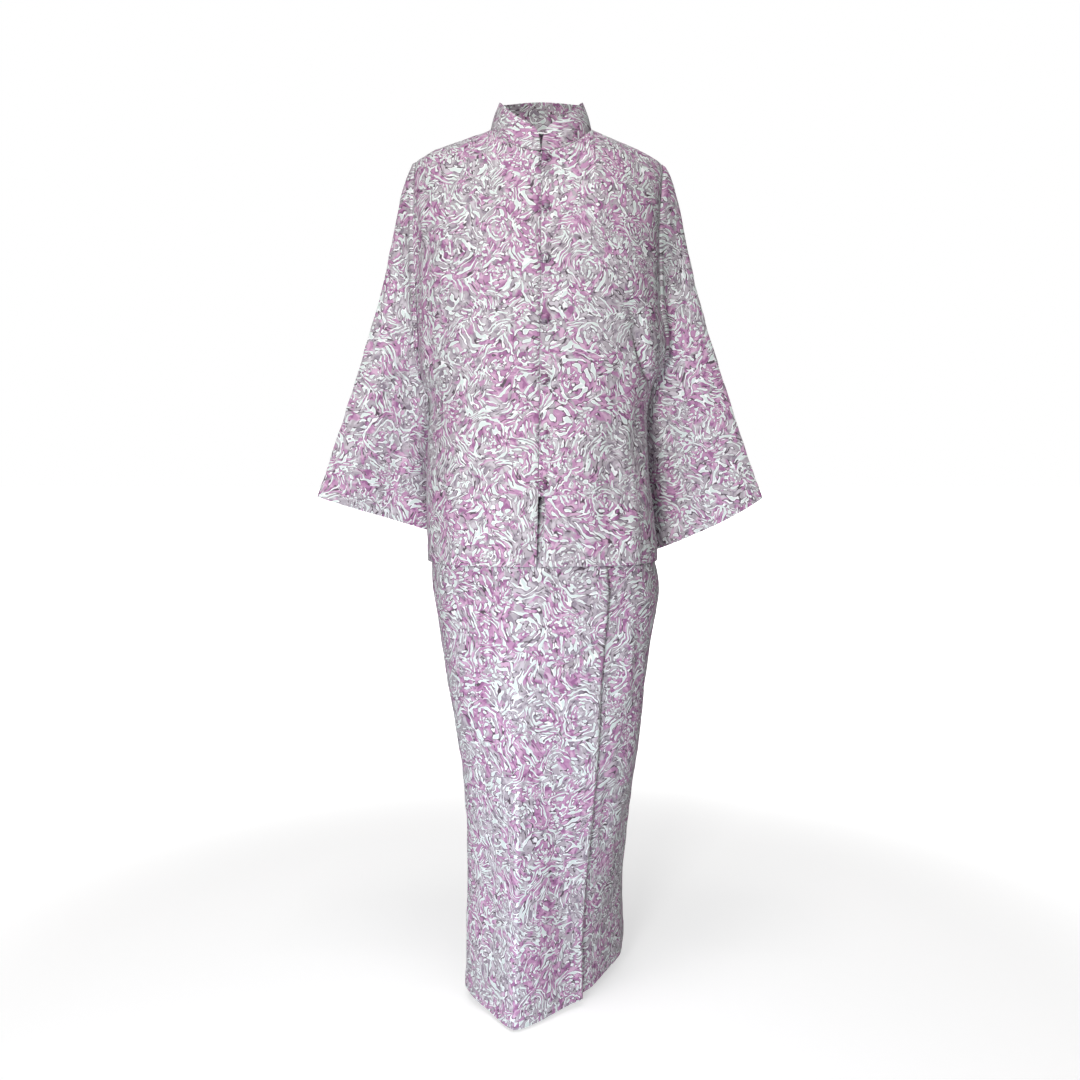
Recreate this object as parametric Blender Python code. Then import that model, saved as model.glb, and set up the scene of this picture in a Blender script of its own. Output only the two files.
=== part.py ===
# A baju kurung set: a jacket with a stand collar, wide sleeves and ball buttons, over a long wrapped skirt.
# Metres, +Z up. The wearer faces -Y. The origin lies between the two points where neck and shoulders meet.
import math

import bpy
import numpy as np

# Cloth and seams
CLOTH = 0.0015
SEAM = 0.0003

# Neck and shoulders
NECK_HALF_WIDTH = 0.0722
NECK_DROP_FRONT = 0.0480
NECK_RISE_BACK = 0.013
NECK_DEPTH_FRONT = 0.088
NECK_DEPTH_BACK = 0.045
NECK_CURVE = 1.7
SHOULDER_SLOPE = {-1: 0.345, 1: 0.405}
SHOULDER_TIP = {-1: 0.1760, 1: 0.1710}
CHEST_HEIGHT = -0.215
DOME_POWER = 2.2
NECK_PULL = 3
SECTION_POWER = 2.4
CALM_INSIDE = 0.55
CALM_OUTSIDE = 0.95
NECK_COLUMNS = 5
SHOULDER_COLUMNS = 7

# Jacket heights
JACKET_HEM = -0.602
SLIT_TOP = -0.5083
SLIT_STEP = 0.002
ROW_MATCH = 0.0001
UNDERARM_LEVEL = 0.473
ARMHOLE_HALF_DEPTH = 0.040
ARMHOLE_ROUNDING = 0.10
BODY_ROWS = 26
ROW_CROWDING = 1.25
ROW_APART = 0.012
COLUMN_TURN_LOW = 0.30
COLUMN_TURN_HIGH = 0.98
CALM_SPAN = 0.06
FOLD_FADE = 2.0

# Jacket sections: height, half width at the wearer's right, at the wearer's left, depth in front, behind
JACKET_SECTIONS = (
    (-0.602, 0.1625, 0.1665, 0.1320, 0.1220),
    (-0.580, 0.1630, 0.1662, 0.1315, 0.1205),
    (-0.518, 0.1645, 0.1590, 0.1300, 0.1170),
    (-0.417, 0.1605, 0.1512, 0.1245, 0.1070),
    (-0.380, 0.1590, 0.1530, 0.1230, 0.1050),
    (-0.361, 0.1640, 0.1570, 0.1228, 0.1050),
    (-0.344, 0.1710, 0.1640, 0.1228, 0.1055),
    (-0.322, 0.1750, 0.1748, 0.1230, 0.1070),
    (-0.233, 0.1815, 0.1715, 0.1240, 0.1120),
    (-0.136, 0.1850, 0.1700, 0.1220, 0.1130),
    (-0.040, 0.1815, 0.1765, 0.1200, 0.1120),
    (0.040, 0.1815, 0.1765, 0.1200, 0.1120),
)

# Soft folds of the jacket: across (-1 is the wearer's right side, 1 the left), height of the middle,
# half width across, half length, lean across per metre of height, depth (a trough is negative)
FRONT_FOLDS = (
    (-0.86, -0.25, 0.060, 0.130, 0.10, -0.0050),
    (-0.70, -0.50, 0.090, 0.110, 0.25, 0.0035),
    (0.60, -0.47, 0.100, 0.140, 0.45, -0.0050),
    (0.80, -0.52, 0.070, 0.110, 0.20, 0.0045),
    (0.84, -0.33, 0.055, 0.060, -0.90, -0.0055),
    (0.30, -0.60, 0.120, 0.045, 0.00, -0.0045),
    (0.44, -0.11, 0.080, 0.070, -0.80, 0.0030),
)
BACK_FOLDS = (
    (-0.66, -0.42, 0.100, 0.170, 0.30, 0.0050),
    (-0.36, -0.52, 0.090, 0.120, 0.20, -0.0045),
    (0.10, -0.50, 0.080, 0.140, 0.10, 0.0040),
    (0.42, -0.48, 0.100, 0.150, -0.25, -0.0045),
    (0.72, -0.36, 0.080, 0.140, -0.30, 0.0050),
)

# Front edges: gap between them, and how far each lies from the middle at the collar and at the hem
FRONT_GAP = 0.0006
EDGE_AT_COLLAR = 0.0003
EDGE_AT_HEM = -0.0068
EDGE_CURVE = 0.5
SLIT_WIDTH = 0.0084
STAND_HALF_WIDTH = 0.0125

# Collar
COLLAR_HEIGHT = 0.0385
COLLAR_SEAM = 0.0006
COLLAR_LEAN = 0.0130
COLLAR_END_WIDTH = 0.030
COLLAR_END_HEIGHT = 0.006
COLLAR_END_GAP = 0.0030
COLLAR_END_POWER = 2.4
COLLAR_ROWS = 4

# Sleeves: outer corner and inner corner of the cuff as distance from the middle, depth, height
SLEEVE_ROWS = 12
CUFF_OUTER = {-1: (0.3300, 0.030, -0.5125), 1: (0.3265, 0.030, -0.5140)}
CUFF_INNER = {-1: (0.1600, 0.080, -0.5680), 1: (0.1620, 0.080, -0.5980)}
SLEEVE_TOP_HOLLOW = 0.006
SLEEVE_CLEARANCE = 0.0035
SLEEVE_LOW_HOLLOW = {-1: 0.012, 1: 0.018}
SLEEVE_LOW_POWER = 0.7
SLEEVE_SWING_POWER = 2.2
SLEEVE_PROFILE_POWER = 0.75
SLEEVE_START = 0.30
CLEARANCE_START = 0.15
FOLD_START = 0.10
FOLD_FULL = 0.60
TURNOVER_LEAST = 0.05

# Bumps along the sleeve: share of the way down, half length, distance outwards
SLEEVE_HEAD_BUMP = (0.12, 0.10, 0.006)
UNDERARM_BUMP = (0.09, 0.08, 0.003)
CUFF_CURVE = {-1: 0.000, 1: -0.006}
CUFF_HALF_DEPTH = 0.024
SLEEVE_HALF_DEPTH = 0.030

# Sleeve folds, the same in front and behind: place between top (0) and bottom (1), half width, depth
SLEEVE_FOLDS = (
    (0.30, 0.10, 0.0045),
    (0.56, 0.09, -0.0050),
    (0.80, 0.07, 0.0040),
)

# Buttons and loops
BUTTON_HEIGHTS = (-0.0571, -0.1249, -0.1948, -0.2739, -0.3534, -0.4257, -0.4930)
BUTTON_RADIUS = 0.0056
BUTTON_OFFSET = 0.0056
BUTTON_FLATTENING = 0.82
BUTTON_CAP = 0.06
BUTTON_RINGS = 6
BUTTON_SIDES = 12
LOOP_CORD = 0.0013
LOOP_LEG = 0.0095
LOOP_BEND_POINTS = 9
LOOP_SIDES = 6
LOOP_HUG = 0.90
LOOP_MOUTH = 0.45
SURFACE_STEP = 0.004

# Skirt sections: height, half width at the wearer's right, at the wearer's left, turn from hip to hem shape
SKIRT_SECTIONS = (
    (-0.410, 0.1180, 0.1220, 0.00),
    (-0.500, 0.1430, 0.1480, 0.00),
    (-0.560, 0.1540, 0.1590, 0.00),
    (-0.602, 0.1575, 0.1642, 0.00),
    (-0.640, 0.1560, 0.1705, 0.02),
    (-0.700, 0.1470, 0.1630, 0.07),
    (-0.783, 0.1350, 0.1530, 0.20),
    (-0.880, 0.1190, 0.1470, 0.42),
    (-0.960, 0.1110, 0.1400, 0.60),
    (-1.054, 0.1090, 0.1330, 0.80),
    (-1.140, 0.1105, 0.1310, 0.93),
    (-1.258, 0.1127, 0.1340, 1.00),
)
SKIRT_TOP = -0.410
SKIRT_HEM = -1.258
SKIRT_ROWS = 18
OVER_COLUMNS = 21
BACK_COLUMNS = 23
UNDER_COLUMNS = 15
HIP_SIDE = 0.160
HIP_FRONT = 0.118
HIP_BACK = 0.110
HIP_POWER = 2.3
WAIST_DEPTH = 0.80
HIP_FULL_HEIGHT = -0.59
SIDE_BLEND = 0.03
HEM_CENTRE = (0.012, 0.040)

# Corners of the hem as seen from above, from the wrap's edge round by the wearer's right
HEM_CORNERS = (
    (0.060, -0.014),
    (-0.037, -0.108),
    (-0.1145, 0.012),
    (-0.050, 0.122),
    (0.028, 0.184),
    (0.134, 0.170),
    (0.121, 0.085),
)
CORNER_CUT = 0.09
CORNER_CUT_LATER = 0.25
CORNER_ROUNDS = 4
HEM_RISE_LEFT = 0.030
RISE_FROM_HEIGHT = -0.80
RISE_FRONT = -0.10
RISE_BACK = 0.16

# The wrap: directions from the skirt's middle, in degrees from the wearer's left towards the back
WRAP_EDGE_AT_WAIST = -49.5
WRAP_EDGE_AT_HEM = -53.0
RIGHT_SEAM = -176.0
LEFT_SEAM = 12.0
UNDERLAP_DEGREES = 34.0
WRAP_SPACE = 0.0018
WRAP_LIFT_TOP = 0.0010
WRAP_LIFT_HEM = 0.0070
WRAP_EDGE_DEGREES = 30.0
UNDER_EASE_DEGREES = 22.0
WAISTBAND_HEIGHT = 0.030
WAISTBAND_ROWS = 3
WAISTBAND_COLUMNS = 41

# Soft folds of the skirt: direction, height of the middle, half width in degrees, half length, lean in
# degrees per metre of height, depth (a trough is negative)
SKIRT_FOLDS = (
    (-150.0, -0.66, 9.0, 0.100, 10.0, 0.0035),
    (-97.0, -1.12, 9.0, 0.150, 0.0, 0.0035),
    (-132.0, -1.10, 14.0, 0.200, 0.0, -0.0040),
    (-30.0, -0.95, 10.0, 0.200, 20.0, -0.0040),
    (100.0, -0.80, 14.0, 0.160, 25.0, 0.0045),
    (132.0, -0.98, 15.0, 0.200, -15.0, -0.0050),
    (62.0, -1.02, 13.0, 0.200, 15.0, -0.0050),
)

# Materials: colour and roughness
PRINT_COTTON = ((0.52, 0.40, 0.50, 1.0), 0.75)
BUTTON_CLOTH = ((0.45, 0.33, 0.42, 1.0), 0.70)
SHARP_DEGREES = 50


def clear_scene():
    for thing in list(bpy.data.objects):
        bpy.data.objects.remove(thing)


def cloth_material(name, colour, roughness):
    material = bpy.data.materials.new(name)
    material.use_nodes = True
    shader = material.node_tree.nodes["Principled BSDF"]
    shader.inputs["Base Color"].default_value = colour
    shader.inputs["Roughness"].default_value = roughness
    return material


def along(table, height, column):
    # A smooth curve through one column of a table whose first column is the height
    rows = np.array(sorted(table))
    heights, values = rows[:, 0], rows[:, column]
    slopes = np.gradient(values, heights)
    height = min(max(height, heights[0]), heights[-1])
    i = min(int(np.searchsorted(heights, height, side="right")) - 1, len(heights) - 2)
    step = heights[i + 1] - heights[i]
    t = (height - heights[i]) / step
    return (
        (2 * t**3 - 3 * t**2 + 1) * values[i]
        + (t**3 - 2 * t**2 + t) * step * slopes[i]
        + (3 * t**2 - 2 * t**3) * values[i + 1]
        + (t**3 - t**2) * step * slopes[i + 1]
    )


def smooth(value, low, high):
    t = min(max((value - low) / (high - low), 0.0), 1.0)
    return t * t * (3 - 2 * t)


def unit(vectors):
    return vectors / np.maximum(np.linalg.norm(vectors, axis=-1, keepdims=True), 1e-12)


def grid_normals(grid, around):
    # Normals of a grid of points; around says that its second direction closes on itself
    if around:
        across = np.roll(grid, -1, axis=1) - np.roll(grid, 1, axis=1)
    else:
        across = np.gradient(grid, axis=1)
    return unit(np.cross(across, np.gradient(grid, axis=0)))


def wall(name, grid, outward, material, around=False, keep_flat=()):
    # A closed wall whose outer face is the grid. outward points roughly away from the wearer at grid[0, 0].
    # keep_flat holds (rows, columns, axis): there the wall runs straight in from its edge.
    rows, columns = grid.shape[:2]
    normals = grid_normals(grid, around)
    if np.dot(normals[0, 0], outward) < 0:
        normals = -normals
    for at_rows, at_columns, axis in keep_flat:
        normals[at_rows, at_columns, axis] = 0.0
    normals = unit(normals)
    inner = grid - CLOTH * normals
    points = np.concatenate([grid.reshape(-1, 3), inner.reshape(-1, 3)])
    size = rows * columns
    spans = columns if around else columns - 1
    faces = []
    for i in range(rows - 1):
        for j in range(spans):
            a, b = i * columns + j, i * columns + (j + 1) % columns
            c, d = b + columns, a + columns
            faces.append((a, b, c, d))
            faces.append((size + d, size + c, size + b, size + a))
    for j in range(spans):
        a, b = j, (j + 1) % columns
        c, d = (rows - 1) * columns + a, (rows - 1) * columns + b
        faces.append((b, a, size + a, size + b))
        faces.append((c, d, size + d, size + c))
    if not around:
        for i in range(rows - 1):
            a, b = i * columns, (i + 1) * columns
            c, d = a + columns - 1, b + columns - 1
            faces.append((a, b, size + b, size + a))
            faces.append((d, c, size + c, size + d))
    return solid(name, points, faces, material)


def solid(name, points, faces, material):
    mesh = bpy.data.meshes.new(name)
    mesh.from_pydata([tuple(point) for point in points], [], faces)
    mesh.update()
    corners = [[mesh.vertices[k].co for k in face.vertices] for face in mesh.polygons]
    volume = sum(c[0].dot(c[k].cross(c[k + 1])) for c in corners for k in range(1, len(c) - 1))
    if volume < 0:
        mesh.flip_normals()
    mesh.materials.append(material)
    mesh.shade_smooth()
    mesh.set_sharp_from_angle(angle=math.radians(SHARP_DEGREES))
    thing = bpy.data.objects.new(name, mesh)
    bpy.context.scene.collection.objects.link(thing)
    return thing


# The jacket's surface. side is -1 at the wearer's right and 1 at the left; face is -1 in front and 1 behind.


def half_width(side, height):
    return along(JACKET_SECTIONS, height, 1 if side < 0 else 2)


def tip_height(side):
    return -SHOULDER_SLOPE[side] * (SHOULDER_TIP[side] - NECK_HALF_WIDTH)


def underarm(side):
    return JACKET_HEM + (tip_height(side) - JACKET_HEM) * UNDERARM_LEVEL


def depth(face, height):
    return along(JACKET_SECTIONS, height, 3 if face < 0 else 4)


def fold_depth(table, across, height):
    total = 0.0
    for middle, level, width, length, lean, amount in table:
        drift = across - middle - lean * (height - level)
        total += amount * math.exp(-((drift / width) ** 2) - ((height - level) / length) ** 2)
    return total


def top_edge(side, face, x):
    # Depth and height of the neckline or, further out, of the shoulder seam
    x = abs(x)
    if x >= NECK_HALF_WIDTH:
        return 0.0, -SHOULDER_SLOPE[side] * (x - NECK_HALF_WIDTH)
    curve = math.sqrt(1 - (x / NECK_HALF_WIDTH) ** 2)
    if face < 0:
        return NECK_DEPTH_FRONT * curve, -NECK_DROP_FRONT * curve**NECK_CURVE
    return NECK_DEPTH_BACK * curve, NECK_RISE_BACK * curve**NECK_CURVE


def bulge_width(side, x, height):
    # The half width that rounds the section: away from the side it leaves out the steps at the underarm
    here = half_width(side, height)
    calm = (half_width(side, height - CALM_SPAN) + half_width(side, height + CALM_SPAN)) / 2
    return calm + (here - calm) * smooth(abs(x) / here, CALM_INSIDE, CALM_OUTSIDE)


def above_chest(side, face, x, height):
    # Share of the way from the chest up to the panel's top edge
    end_height = top_edge(side, face, x)[1]
    return min(max((height - CHEST_HEIGHT) / (end_height - CHEST_HEIGHT), 0.0), 1.0)


def turnover(share):
    # How much of the chest's depth is left where the cloth turns over to its top edge
    return (1 - share**DOME_POWER) ** (1 / DOME_POWER)


def jacket_point(side, face, x, height):
    # x is the distance from the middle, towards the side. Above the chest the cloth turns over.
    across = min(abs(x) / bulge_width(side, x, height), 1.0)
    bulge = (1 - across**SECTION_POWER) ** (1 / SECTION_POWER)
    folds = fold_depth(FRONT_FOLDS if face < 0 else BACK_FOLDS, side * across, height)
    reach = depth(face, height) * bulge + folds * min(bulge * FOLD_FADE, 1.0)
    share = above_chest(side, face, x, height)
    end_depth = top_edge(side, face, x)[0] * share**NECK_PULL
    reach = end_depth + (reach - end_depth) * turnover(share)
    return np.array([side * x, face * (reach + SEAM / 2), height])


def edge_distance(side, face, height):
    # Where a panel ends: at the side seam below the underarm, at the armhole's edge above it
    rise = min(max((height - underarm(side)) / ARMHOLE_ROUNDING, 0.0), 1.0)
    opening = ARMHOLE_HALF_DEPTH * math.sqrt(1 - (1 - rise) ** 2)
    share = opening / depth(face, height)
    return half_width(side, height) * (1 - share**SECTION_POWER) ** (1 / SECTION_POWER)


def top_places(side):
    # Distances from the middle where the columns of a panel end, first on the neckline, then on the shoulder
    neck = [NECK_HALF_WIDTH * math.sin(math.pi / 2 * k / NECK_COLUMNS) for k in range(NECK_COLUMNS + 1)]
    step = (SHOULDER_TIP[side] - NECK_HALF_WIDTH) / SHOULDER_COLUMNS
    return neck + [NECK_HALF_WIDTH + step * k for k in range(1, SHOULDER_COLUMNS + 1)]


def body_levels():
    # Shares of the panel's height, closer together near the top, with the slit's step and the underarm
    even = np.linspace(0.0, 1.0, BODY_ROWS)
    levels = list(1 - (1 - even) ** ROW_CROWDING)
    front_span = -NECK_DROP_FRONT - JACKET_HEM
    fixed = [(SLIT_TOP + step - JACKET_HEM) / front_span for step in (0.0, SLIT_STEP)]
    fixed.append(UNDERARM_LEVEL)
    levels = [v for v in levels if min(abs(v - s) for s in fixed) > ROW_APART]
    return sorted(levels + fixed)


def front_line(height):
    # Where the two fronts meet
    share = (height - JACKET_HEM) / (-NECK_DROP_FRONT - JACKET_HEM)
    return EDGE_AT_HEM + (EDGE_AT_COLLAR - EDGE_AT_HEM) * share**EDGE_CURVE


def front_edge(side, height):
    # Distance of a front's edge from the middle, towards its own side
    line = front_line(height)
    if side < 0:
        return -line + FRONT_GAP / 2
    step = SLIT_WIDTH * (1 - smooth(height, SLIT_TOP, SLIT_TOP + SLIT_STEP))
    return line + FRONT_GAP / 2 + step


def body_panel_grid(side, face):
    # Rows from hem to top, columns from the middle to the side
    places = top_places(side)
    last = len(places) - 1
    grid = []
    for level in body_levels():
        row = []
        for k, place in enumerate(places):
            top = top_edge(side, face, place)[1]
            height = JACKET_HEM + (top - JACKET_HEM) * level
            low = math.sin(math.pi / 2 * k / last) ** (2 / SECTION_POWER)
            high = place / edge_distance(side, face, top)
            turn = smooth(level, COLUMN_TURN_LOW, COLUMN_TURN_HIGH)
            x = edge_distance(side, face, height) * (low + (high - low) * turn)
            if face < 0:
                x += front_edge(side, height) * (1 - k / last) ** 2
            row.append(jacket_point(side, face, x, height))
        grid.append(row)
    return np.array(grid)


def build_jacket_body(material):
    shoulder = slice(NECK_COLUMNS, None)
    side_rows = slice(0, body_levels().index(UNDERARM_LEVEL) + 1)
    for side, name in ((-1, "jacket_front_right"), (1, "jacket_front_left")):
        grid = body_panel_grid(side, -1)
        flats = ((slice(None), 0, 0), (-1, shoulder, 1), (side_rows, -1, 1))
        wall(name, grid, (0, -1, 0), material, keep_flat=flats)
    left, right = body_panel_grid(1, 1), body_panel_grid(-1, 1)
    grid = np.concatenate([right[:, :0:-1], left], axis=1)
    middle = grid.shape[1] // 2
    flats = (
        (-1, slice(0, middle - NECK_COLUMNS + 1), 1),
        (-1, slice(middle + NECK_COLUMNS, None), 1),
        (side_rows, 0, 1),
        (side_rows, -1, 1),
    )
    wall("jacket_back", grid, (-1, 0.2, 0), material, keep_flat=flats)


def build_button_stand(material):
    # The narrow strip behind the closure. It follows both fronts and ends at the top of the slit.
    top_level = (SLIT_TOP - JACKET_HEM) / (-NECK_DROP_FRONT - JACKET_HEM)
    first = next(k for k, level in enumerate(body_levels()) if level > top_level - ROW_MATCH)
    sides = []
    for side in (-1, 1):
        panel = body_panel_grid(side, -1)
        normals = grid_normals(panel, False)
        if normals[0, 0, 1] > 0:
            normals = -normals
        inside = panel - normals * (CLOTH + SEAM)
        width = np.abs(panel[:, 1, 0] - panel[:, 0, 0])[:, None]
        reach = (inside[:, 1] - inside[:, 0]) * (STAND_HALF_WIDTH / width)
        sides.append([inside[:, 0], inside[:, 0] + reach])
    (right_edge, right_out), (left_edge, left_out) = sides
    grid = np.stack([right_out, right_edge, left_edge, left_out], axis=1)[first:-1]
    wall("button_stand", grid, (0, -1, 0), material)


def neckline():
    # Points of the neckline from one front end round the back to the other, with the wall's share of height
    turns = [math.pi / 2 * k / NECK_COLUMNS for k in range(NECK_COLUMNS + 1)]
    half = []
    for turn in turns:
        x = NECK_HALF_WIDTH * math.sin(turn)
        half.append((x, -1))
    for turn in turns[-2::-1]:
        half.append((NECK_HALF_WIDTH * math.sin(turn), 1))
    line = []
    for side in (-1, 1):
        line.append([jacket_point(side, face, x, top_edge(side, face, x)[1]) for x, face in half])
    return np.array(line[0] + line[1][-2::-1])


def build_collar(material):
    line = neckline()
    line[0, 0] -= COLLAR_END_GAP
    line[-1, 0] += COLLAR_END_GAP
    dense = [line[0]]
    for a, b in zip(line[:-1], line[1:]):
        dense += [a + (b - a) * 0.5, b]
    line = np.array(dense)
    centre = np.array([0.0, (line[:, 1].max() + line[:, 1].min()) / 2, 0.0])
    inward = centre - line
    inward[:, 2] = 0.0
    inward = unit(inward)
    steps = np.linalg.norm(np.diff(line, axis=0), axis=1)
    walked = np.concatenate([[0.0], np.cumsum(steps)])
    to_end = np.minimum(walked, walked[-1] - walked)
    rounding = np.clip(to_end / COLLAR_END_WIDTH, 0.0, 1.0)
    rounding = (1 - (1 - rounding) ** COLLAR_END_POWER) ** (1 / COLLAR_END_POWER)
    heights = COLLAR_END_HEIGHT + (COLLAR_HEIGHT - COLLAR_END_HEIGHT) * rounding
    up = np.array([0.0, 0.0, 1.0])
    start = line + (inward + up) * COLLAR_SEAM
    grid = []
    for k in range(COLLAR_ROWS + 1):
        rise = heights[:, None] * (k / COLLAR_ROWS)
        lean = COLLAR_LEAN * rise / COLLAR_HEIGHT
        grid.append(start + up * rise + inward * lean)
    wall("collar", np.array(grid), (-0.3, -1, 0), material)


def hump(place, middle, half_length, amount):
    return amount * math.exp(-(((place - middle) / half_length) ** 2))


def armhole_ring(side):
    # The armhole's edge from its top, down the front and up the back, with each point's face
    start = body_levels().index(UNDERARM_LEVEL)
    front = body_panel_grid(side, -1)[start:, -1][::-1]
    back = body_panel_grid(side, 1)[start:, -1]
    low = (front[-1] + back[0]) / 2
    top = (front[0] + back[-1]) / 2
    ring = [(top, -1)] + [(point, -1) for point in front[1:-1]]
    return ring + [(low, 1)] + [(point, 1) for point in back[1:-1]]


def sleeve_point(side, share, hole, face):
    # A point of the sleeve's section at a share of the way from the armhole to the cuff
    start = np.array([side * (abs(hole[0]) + SEAM), hole[1], hole[2]])
    if share == 0:
        return start
    tip, low_height = tip_height(side), underarm(side)
    down = (tip - hole[2]) / (tip - low_height)
    turn = math.acos(min(max(1 - 2 * down, -1.0), 1.0)) / math.pi
    top = np.array([SHOULDER_TIP[side], 0.0, tip])
    low = np.array([half_width(side, low_height), 0.0, low_height])
    upper = top + (np.array(CUFF_OUTER[side]) - top) * share
    upper[0] -= SLEEVE_TOP_HOLLOW * math.sin(math.pi * share)
    upper[0] += hump(share, *SLEEVE_HEAD_BUMP)
    lower = low + (np.array(CUFF_INNER[side]) - low) * share
    lower[0] -= SLEEVE_LOW_HOLLOW[side] * max(math.sin(math.pi * share), 0.0) ** SLEEVE_LOW_POWER
    lower[0] += hump(share, *UNDERARM_BUMP)
    lower[1] = CUFF_INNER[side][1] * (1 - (1 - share) ** SLEEVE_SWING_POWER)
    half = SLEEVE_HALF_DEPTH + (CUFF_HALF_DEPTH - SLEEVE_HALF_DEPTH) * share
    profile = max(math.sin(math.pi * turn), 0.0) ** SLEEVE_PROFILE_POWER
    folds = sum(hump(turn, *fold) for fold in SLEEVE_FOLDS) * smooth(share, FOLD_START, FOLD_FULL)
    point = upper + (lower - upper) * down
    point[1] += face * profile * (half + folds)
    point[2] += CUFF_CURVE[side] * math.sin(math.pi * down) * share
    point[0] *= side
    point = start + (point - start) * smooth(share, 0.0, SLEEVE_START)
    return clear_of_body(side, point, SLEEVE_CLEARANCE * smooth(share, 0.0, CLEARANCE_START))


def clear_of_body(side, point, clearance):
    # Moves a point of the sleeve out until it is clear of the jacket's side
    face = -1 if point[1] < 0 else 1
    left = turnover(above_chest(side, face, abs(point[0]), point[2]))
    share = min(abs(point[1]) / (depth(face, point[2]) * max(left, TURNOVER_LEAST)), 1.0)
    body = half_width(side, point[2]) * (1 - share**SECTION_POWER) ** (1 / SECTION_POWER)
    if clearance > 0 and abs(point[0]) < body + clearance:
        point[0] = side * (body + clearance)
    return point


def build_sleeves(material):
    for side, name in ((-1, "sleeve_right"), (1, "sleeve_left")):
        ring = armhole_ring(side)
        shares = [k / (SLEEVE_ROWS - 1) for k in range(SLEEVE_ROWS)]
        grid = np.array([[sleeve_point(side, share, hole, face) for hole, face in ring] for share in shares])
        wall(name, grid, (0, 0, 1), material, around=True, keep_flat=((0, slice(None), 0),))


def front_surface(x, height):
    # A point of the jacket's front at a distance from the middle, and the direction straight out of it
    side = 1 if x >= 0 else -1
    point = jacket_point(side, -1, abs(x), height)
    below = jacket_point(side, -1, abs(x), height - SURFACE_STEP)
    rise = unit(point - below)
    return point, unit(np.cross(np.array([1.0, 0.0, 0.0]), rise)), rise


def tube_faces(rings, around):
    # Faces of a closed tube of rings of points, with both its ends filled
    faces = []
    for i in range(rings - 1):
        for j in range(around):
            a, b = i * around + j, i * around + (j + 1) % around
            faces.append((a, b, b + around, a + around))
    faces.append(tuple(reversed(range(around))))
    faces.append(tuple((rings - 1) * around + j for j in range(around)))
    return faces


def build_buttons(material):
    # Slightly flattened balls, cut by a small flat at the top and at the foot
    sideways = np.array([1.0, 0.0, 0.0])
    for number, height in enumerate(BUTTON_HEIGHTS, 1):
        middle = front_edge(1, max(height, SLIT_TOP + SLIT_STEP)) + BUTTON_OFFSET
        foot, out, rise = front_surface(middle, height)
        points = []
        for i in range(BUTTON_RINGS + 1):
            polar = math.pi * (BUTTON_CAP + (1 - 2 * BUTTON_CAP) * i / BUTTON_RINGS)
            lift = BUTTON_RADIUS * BUTTON_FLATTENING * (1 + math.cos(polar)) + SEAM
            for j in range(BUTTON_SIDES):
                turn = 2 * math.pi * j / BUTTON_SIDES
                radial = sideways * math.cos(turn) + rise * math.sin(turn)
                points.append(foot + radial * BUTTON_RADIUS * math.sin(polar) + out * lift)
        solid(f"button_{number}", points, tube_faces(BUTTON_RINGS + 1, BUTTON_SIDES), material)
        build_loop(number, foot, out, rise, material)


def build_loop(number, foot, out, rise, material):
    # A narrow cloth tube that leaves the other front's edge, goes round the button and comes back
    reach = BUTTON_RADIUS * LOOP_HUG + LOOP_CORD + SEAM
    level = LOOP_CORD + SEAM * 1.5
    sideways = np.array([1.0, 0.0, 0.0])
    ends = [foot - sideways * LOOP_LEG + rise * reach * LOOP_MOUTH * way for way in (1, -1)]
    path = [ends[0]]
    for k in range(LOOP_BEND_POINTS):
        turn = math.pi / 2 - math.pi * k / (LOOP_BEND_POINTS - 1)
        path.append(foot + sideways * reach * math.cos(turn) + rise * reach * math.sin(turn))
    path = np.array(path + [ends[1]]) + out * level
    ways = unit(np.gradient(path, axis=0))
    points = []
    for point, way in zip(path, ways):
        beside = unit(np.cross(way, out))
        for j in range(LOOP_SIDES):
            turn = 2 * math.pi * j / LOOP_SIDES
            points.append(point + LOOP_CORD * (beside * math.cos(turn) + out * math.sin(turn)))
    solid(f"loop_{number}", points, tube_faces(len(path), LOOP_SIDES), material)


# The skirt's surface, by direction round the skirt and height.


def rounded_outline(corners):
    # Cuts the corners of a closed outline again and again until they are round
    points = np.array(corners)
    for turn in range(CORNER_ROUNDS):
        cut = CORNER_CUT if turn == 0 else CORNER_CUT_LATER
        ahead = np.roll(points, -1, axis=0)
        points = np.stack([points + (ahead - points) * cut, ahead + (points - ahead) * cut], 1).reshape(-1, 2)
    return points


def hem_radii():
    # Directions and distances of the hem's outline from its centre
    offset = rounded_outline(HEM_CORNERS) - np.array(HEM_CENTRE)
    angles = np.degrees(np.arctan2(offset[:, 1], offset[:, 0]))
    order = np.argsort(angles)
    return angles[order], np.linalg.norm(offset, axis=1)[order]


HEM_ANGLES, HEM_RADII = hem_radii()


def hip_radius(direction, height):
    # A superellipse whose depth grows from the waist to the hip
    turn = math.radians(direction)
    share = WAIST_DEPTH + (1 - WAIST_DEPTH) * smooth(height, SKIRT_TOP, HIP_FULL_HEIGHT)
    deep = (HIP_FRONT if math.sin(turn) < 0 else HIP_BACK) * share
    across, along_depth = abs(math.cos(turn) / HIP_SIDE), abs(math.sin(turn) / deep)
    return (across**HIP_POWER + along_depth**HIP_POWER) ** (-1 / HIP_POWER)


def skirt_plan(direction, height):
    # Plan of the skirt before its width is set
    turn = math.radians(direction)
    mix = along(SKIRT_SECTIONS, height, 3)
    far = float(np.interp(direction, HEM_ANGLES, HEM_RADII, period=360.0))
    radius = hip_radius(direction, height) * (1 - mix) + far * mix
    return radius * math.cos(turn) + HEM_CENTRE[0] * mix, radius * math.sin(turn) + HEM_CENTRE[1] * mix


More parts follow.
